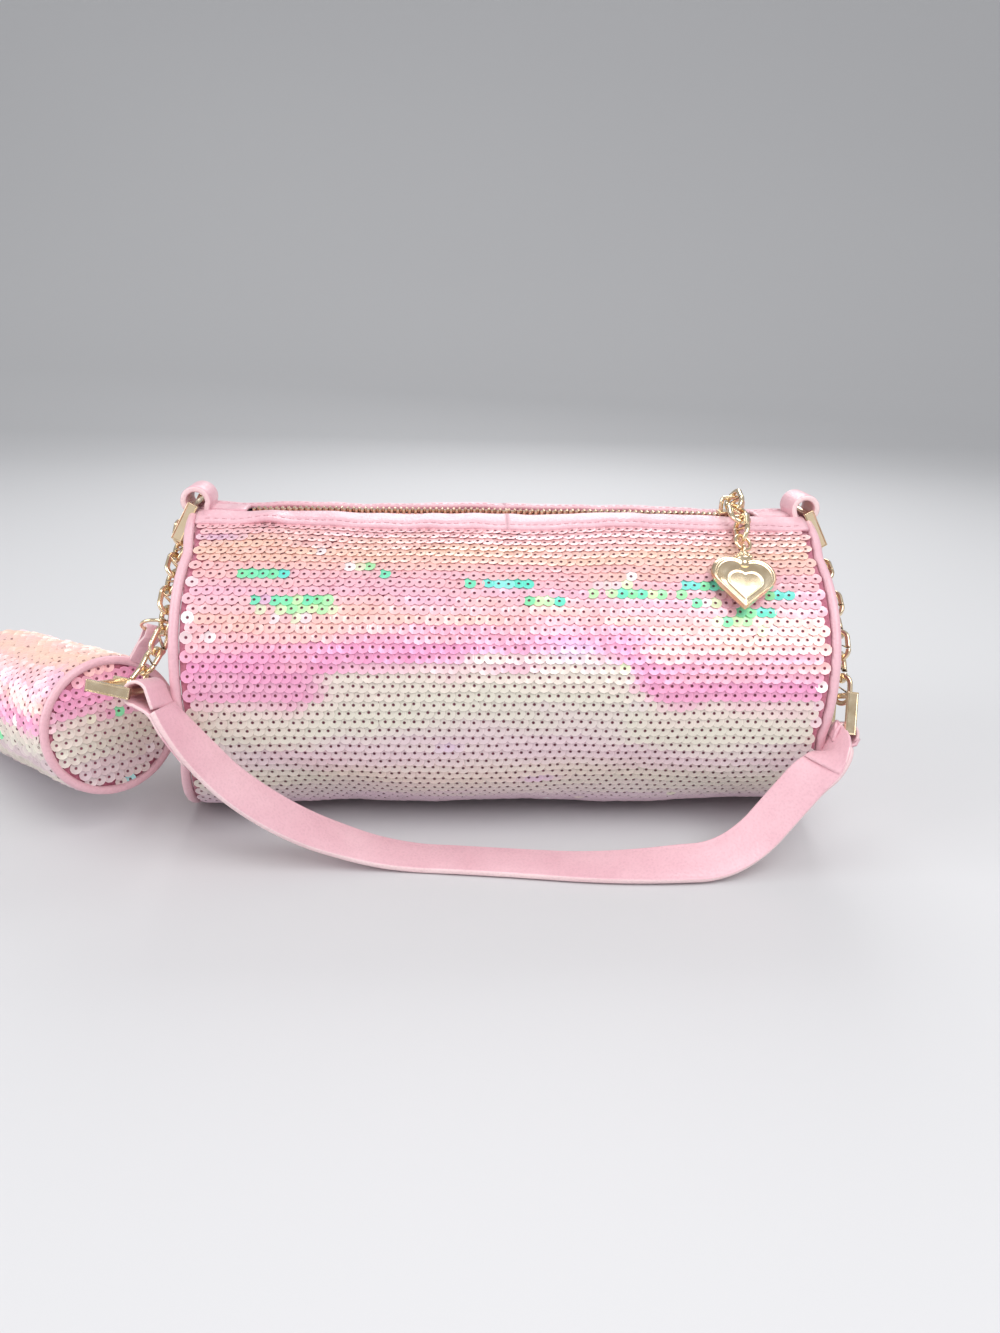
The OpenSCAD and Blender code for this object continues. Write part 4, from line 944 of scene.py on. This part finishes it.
for end, centre, rod, (first, second, third) in (
        ("left", (-131.449, -67.713, 70.0895), left_rod_dir, strap_rows[:3]),
        ("right", (128.856, -57.720, 48.8503), right_rod_dir, strap_rows[:-4:-1])):
    centre, root = Vector(centre), Vector(first[:3])
    wide = Vector(first[3:]).normalized()
    if wide.dot(rod) < 0:
        rod = -rod
    toward = root - centre
    toward = (toward - toward.dot(rod) * rod).normalized()
    rise = rod.cross(toward)
    rows = []
    for spot, lift in ((third, 1.8), (second, 1.85), (first, 1.9)):
        ahead_s = (Vector(first[:3]) - Vector(second[:3])).normalized()
        w = Vector(spot[3:]).normalized()
        w = (w - w.dot(ahead_s) * ahead_s).normalized()
        n = w.cross(ahead_s) if w.cross(ahead_s).dot(rise) > 0 else -w.cross(ahead_s)
        rows.append((*(Vector(spot[:3]) + n * lift), *w))
    for turn in (55, 80, 110, 140, 170, 200, 230, 260, 290, 312):
        a = math.radians(turn)
        rows.append((*(centre + (toward * math.cos(a) + rise * math.sin(a)) * 4.2), *rod))
    rows.append((*(root - rise * 0.2), *wide))
    strip(f"strap_fold_{end}", rows, 15.4, 1.35, "strap", (), 5)

# The small pouch: a stiff little tube of the same sequined cloth, 105 mm long, with a disc
# at each end, a piped seam round both, and a closed zip panel along its front side.
pouch_r, pouch_l, zip_turn = 27.5, 105.0, 285.0
pouch_stand = stand((-156.833, -34.115, 43.084), (-0.662004, 0.735229, -0.145564), (0, 0, -1))


def on_pouch(s, turn, height=0.0):
    """A point of the pouch: along it from its front end, round it from below, out of it."""
    a = math.radians(turn)
    slack = 0.7 * waver(s / 16.0, 2.2 * math.cos(a), 2.2 * math.sin(a)) - 0.3
    slack *= min(1, s / 8.0, (pouch_l - s) / 8.0)
    r = pouch_r + slack + height
    return pouch_stand @ point(r * math.cos(a), r * math.sin(a), s)


def off_pouch(at):
    """The direction from the pouch's axis to a place."""
    local = pouch_stand.inverted() @ at
    return pouch_stand.to_3x3() @ Vector((local.x, local.y, 0))


def pouch_sheet(nx, ny, trim, turn0, turn1, height, thick):
    """A sheet laid round the pouch, from end to end but for a trim, with its thickness inwards."""
    def shape(u, v):
        s, turn = trim + (pouch_l - 2 * trim) * u, zip_turn + turn0 + (turn1 - turn0) * v
        return on_pouch(s, turn, height(s, turn) if callable(height) else height)

    return thicken(grid(nx, ny, shape), thick, off_pouch)


pouch_axis = pouch_stand.to_3x3() @ Vector((0, 0, 1))
bm = pouch_sheet(40, 90, 0.3, 15.5, 344.5, -0.9, 0.8)
piece("pouch_cloth", bm, cloth, "pouch", ["pouch_shell"])
bm = pouch_sheet(24, 60, 2.2, 16, 344, -2.6, 0.4)
piece("pouch_liner", bm, lining_cloth, "pouch", ["pouch_lining"])
places = []
for row in range(29):
    for k in range(43):
        s = 2.2 + row * row_pitch + hand.normal(0, 0.25)
        turn = zip_turn + 17.5 + 325.0 * (k + 0.5 * (row % 2)) / 43 + hand.normal(0, 0.5)
        at = on_pouch(s, turn, -0.30 + hand.uniform(0, 0.2))
        out = off_pouch(at)
        # high measures how far the surface faces down; the painted sheen follows it, and painted glints fall
        # in a band of it.
        high = 1 - (1 + out.normalized().z) / 2
        run = waver(s / 20.0, turn / 16.0, 70.4) + 0.5 * waver(s / 50.0, turn / 60.0, 59.0)
        lit = waver(s / 9, turn / 9, 140.0) > 0.46 and 0.25 < high < 0.6
        glint = 1.0 + hand.random() * 0.33 if lit else 0.0
        places.append((disc_frame(at, out, pouch_axis, *askew(17, 5, 0, 5)), 0.16 + 0.66 * high, run, glint))
sewn("pouch_sequins", places, "pouch")
for name, s_end, way in (("front", -0.9, -1), ("rear", pouch_l + 0.9, 1)):
    def shape(reach, v):
        x, y = reach * math.cos(math.pi * (2 * v - 1)), reach * math.sin(math.pi * (2 * v - 1))
        puff = 1.3 * (1 - reach * reach) + 0.25 * waver(x * 2, y * 2, s_end)
        return pouch_stand @ point(25.6 * x, 25.6 * y, s_end + way * puff)

    bm = grid(12, 72, shape)
    weld(bm)
    thicken(bm, 1.0, pouch_axis * way)
    piece(f"pouch_disc_{name}", bm, cloth, "pouch", [f"pouch_end_{name}"])
    places = []
    for row in range(14):
        x = -23.4 + row * row_pitch
        half = math.sqrt(max(24.2 ** 2 - x * x, 0))
        for k in range(int(2 * half / disc_pitch) + 1):
            y = -half + (k + 0.5 * (row % 2)) * disc_pitch + hand.normal(0, 0.12)
            rho = math.hypot(x, y)
            if rho > 24.0:
                continue
            puff = 1.3 * (1 - (rho / 25.6) ** 2) + 0.55
            at = pouch_stand @ point(x, y, s_end + way * puff)
            run = waver(y / 15, row * 2.3, 90.0 * way) + 0.4 * waver(y / 30, row / 4, 7)
            # Painted glints at random; the painted sheen changes across the disc.
            glint = 1.0 + hand.random() * 0.33 if waver(y / 8, row * 1.9, 44 * way) > 0.45 else 0.0
            spot = disc_frame(at, pouch_axis * way, pouch_stand.to_3x3() @ Vector((1, 0, 0)), *askew(), 0.96)
            places.append((spot, 0.34 + 0.30 * (x + 24) / 48, run, glint))
    sewn(f"pouch_sequins_{name}", places, "pouch")

# The pouch's piping: a rolled leather strip round each end seam, with its ends joined
# under a short wrapped sleeve.
joint_at = math.radians(300)
for name, s_at in (("front", -1.6), ("rear", pouch_l + 1.6)):
    def shape(u, v):
        a, b = math.pi * (2 * u - 1), math.pi * (2 * v - 1)
        off = abs((a - joint_at + math.pi) % (2 * math.pi) - math.pi)
        fat = 1.72 * (1 + 0.05 * waver(a * 6.0, s_at, 0)) + 0.42 / (1 + math.exp((off - 0.15) * 60))
        r = 26.0 + fat * math.cos(b)
        return pouch_stand @ point(r * math.cos(a), r * math.sin(a), s_at + fat * math.sin(b))

    bm = grid(140, 14, shape)
    weld(bm)
    piece(f"pouch_roll_{name}", bm, leather, "pouch", ["pouch_piping"])


# The pouch's zip: a leather frame with a stitched edge round a short closed zip, whose
# teeth mesh in one narrow row.
def panel_rise(s, turn):
    off = abs(turn - zip_turn)
    return 0.35 - 0.3 * math.exp(-((off - 13.4) / 0.9) ** 2) + 0.12 * waver(s / 7.0, turn / 12.0, 5.0)


for way, word in ((-1, "low"), (1, "high")):
    bm = pouch_sheet(70, 10, 0.6, way * 5.6, way * 15.9, panel_rise, 1.3)
    piece(f"pouch_band_{word}", bm, leather, "pouch", ["pouch_zip"])
    frames = []
    for share in (7.4, 14.2):
        turn = zip_turn + way * share
        for k in range(32):
            s = 5.0 + 3.05 * k
            at = on_pouch(s, turn, panel_rise(s, turn) + 0.1)
            along = on_pouch(s + 1, turn) - on_pouch(s - 1, turn)
            frames.append(facing(at, along, at - pouch_stand @ point(0, 0, s)))
    piece(f"pouch_stitches_{word}", repeated(stitch, frames), thread, "pouch")
piece("pouch_tape", pouch_sheet(40, 6, 0.8, -6.4, 6.4, -0.75, 0.5), tape, "pouch")
frames = []
for k in range(84):
    s = 10.0 + k * 1.02
    turn = zip_turn + (0.75 if k % 2 else -0.75)
    at = on_pouch(s, turn, -0.35)
    along = on_pouch(s, turn + 1) - on_pouch(s, turn - 1)
    frames.append(facing(at, along, at - pouch_stand @ point(0, 0, s)) @ Matrix.Scale(0.62, 4))
bm = bmesh.new()
block(bm, (3.0, 1.1, 1.5))
small_tooth = meshed("one_small_tooth", bm)
piece("pouch_teeth", repeated(small_tooth, frames), plating, "pouch", (), False)

# The pouch's hanger: a narrow leather tab folded through a thin ring, which grips a link of
# the chain. The rings, the pouch's slider and its pull are plated like the chain.
ring_far, tab_dir = Vector((-138.058, -29.849, 80.464)), Vector((-0.511559, 0.329319, -0.793635)).normalized()
host_dir, hang_dir = Vector((0, -0.669131, -0.743145)), Vector((-0.5505, 0.6204, -0.5586))
tab_wide = host_dir.cross(hang_dir).normalized()
tab_wide = (tab_wide - tab_wide.dot(tab_dir) * tab_dir).normalized()
tab_out = tab_dir.cross(tab_wide)
eye_c = ring_far + tab_dir * 0.95
rows = [eye_c + tab_dir * d + tab_out * 0.75 for d in (17.2, 13, 9, 6)]
for turn in (60, 90, 120, 150, 180, 210, 240, 270, 300):
    a = math.radians(turn)
    rows.append(eye_c + (tab_dir * math.cos(a) + tab_out * math.sin(a)) * 2.65)
rows += [eye_c + tab_dir * d - tab_out * 0.75 for d in (6, 9, 13, 17.2)]
strip("pouch_hanger", [(*row, *tab_wide) for row in rows], 6, 1.4, "pouch", ["pouch_tab"], 4)
for name in ("jump_ring", "pouch_ring", "pouch_slider", "pouch_pull"):
    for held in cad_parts[name].material_slots:
        held.material = plating
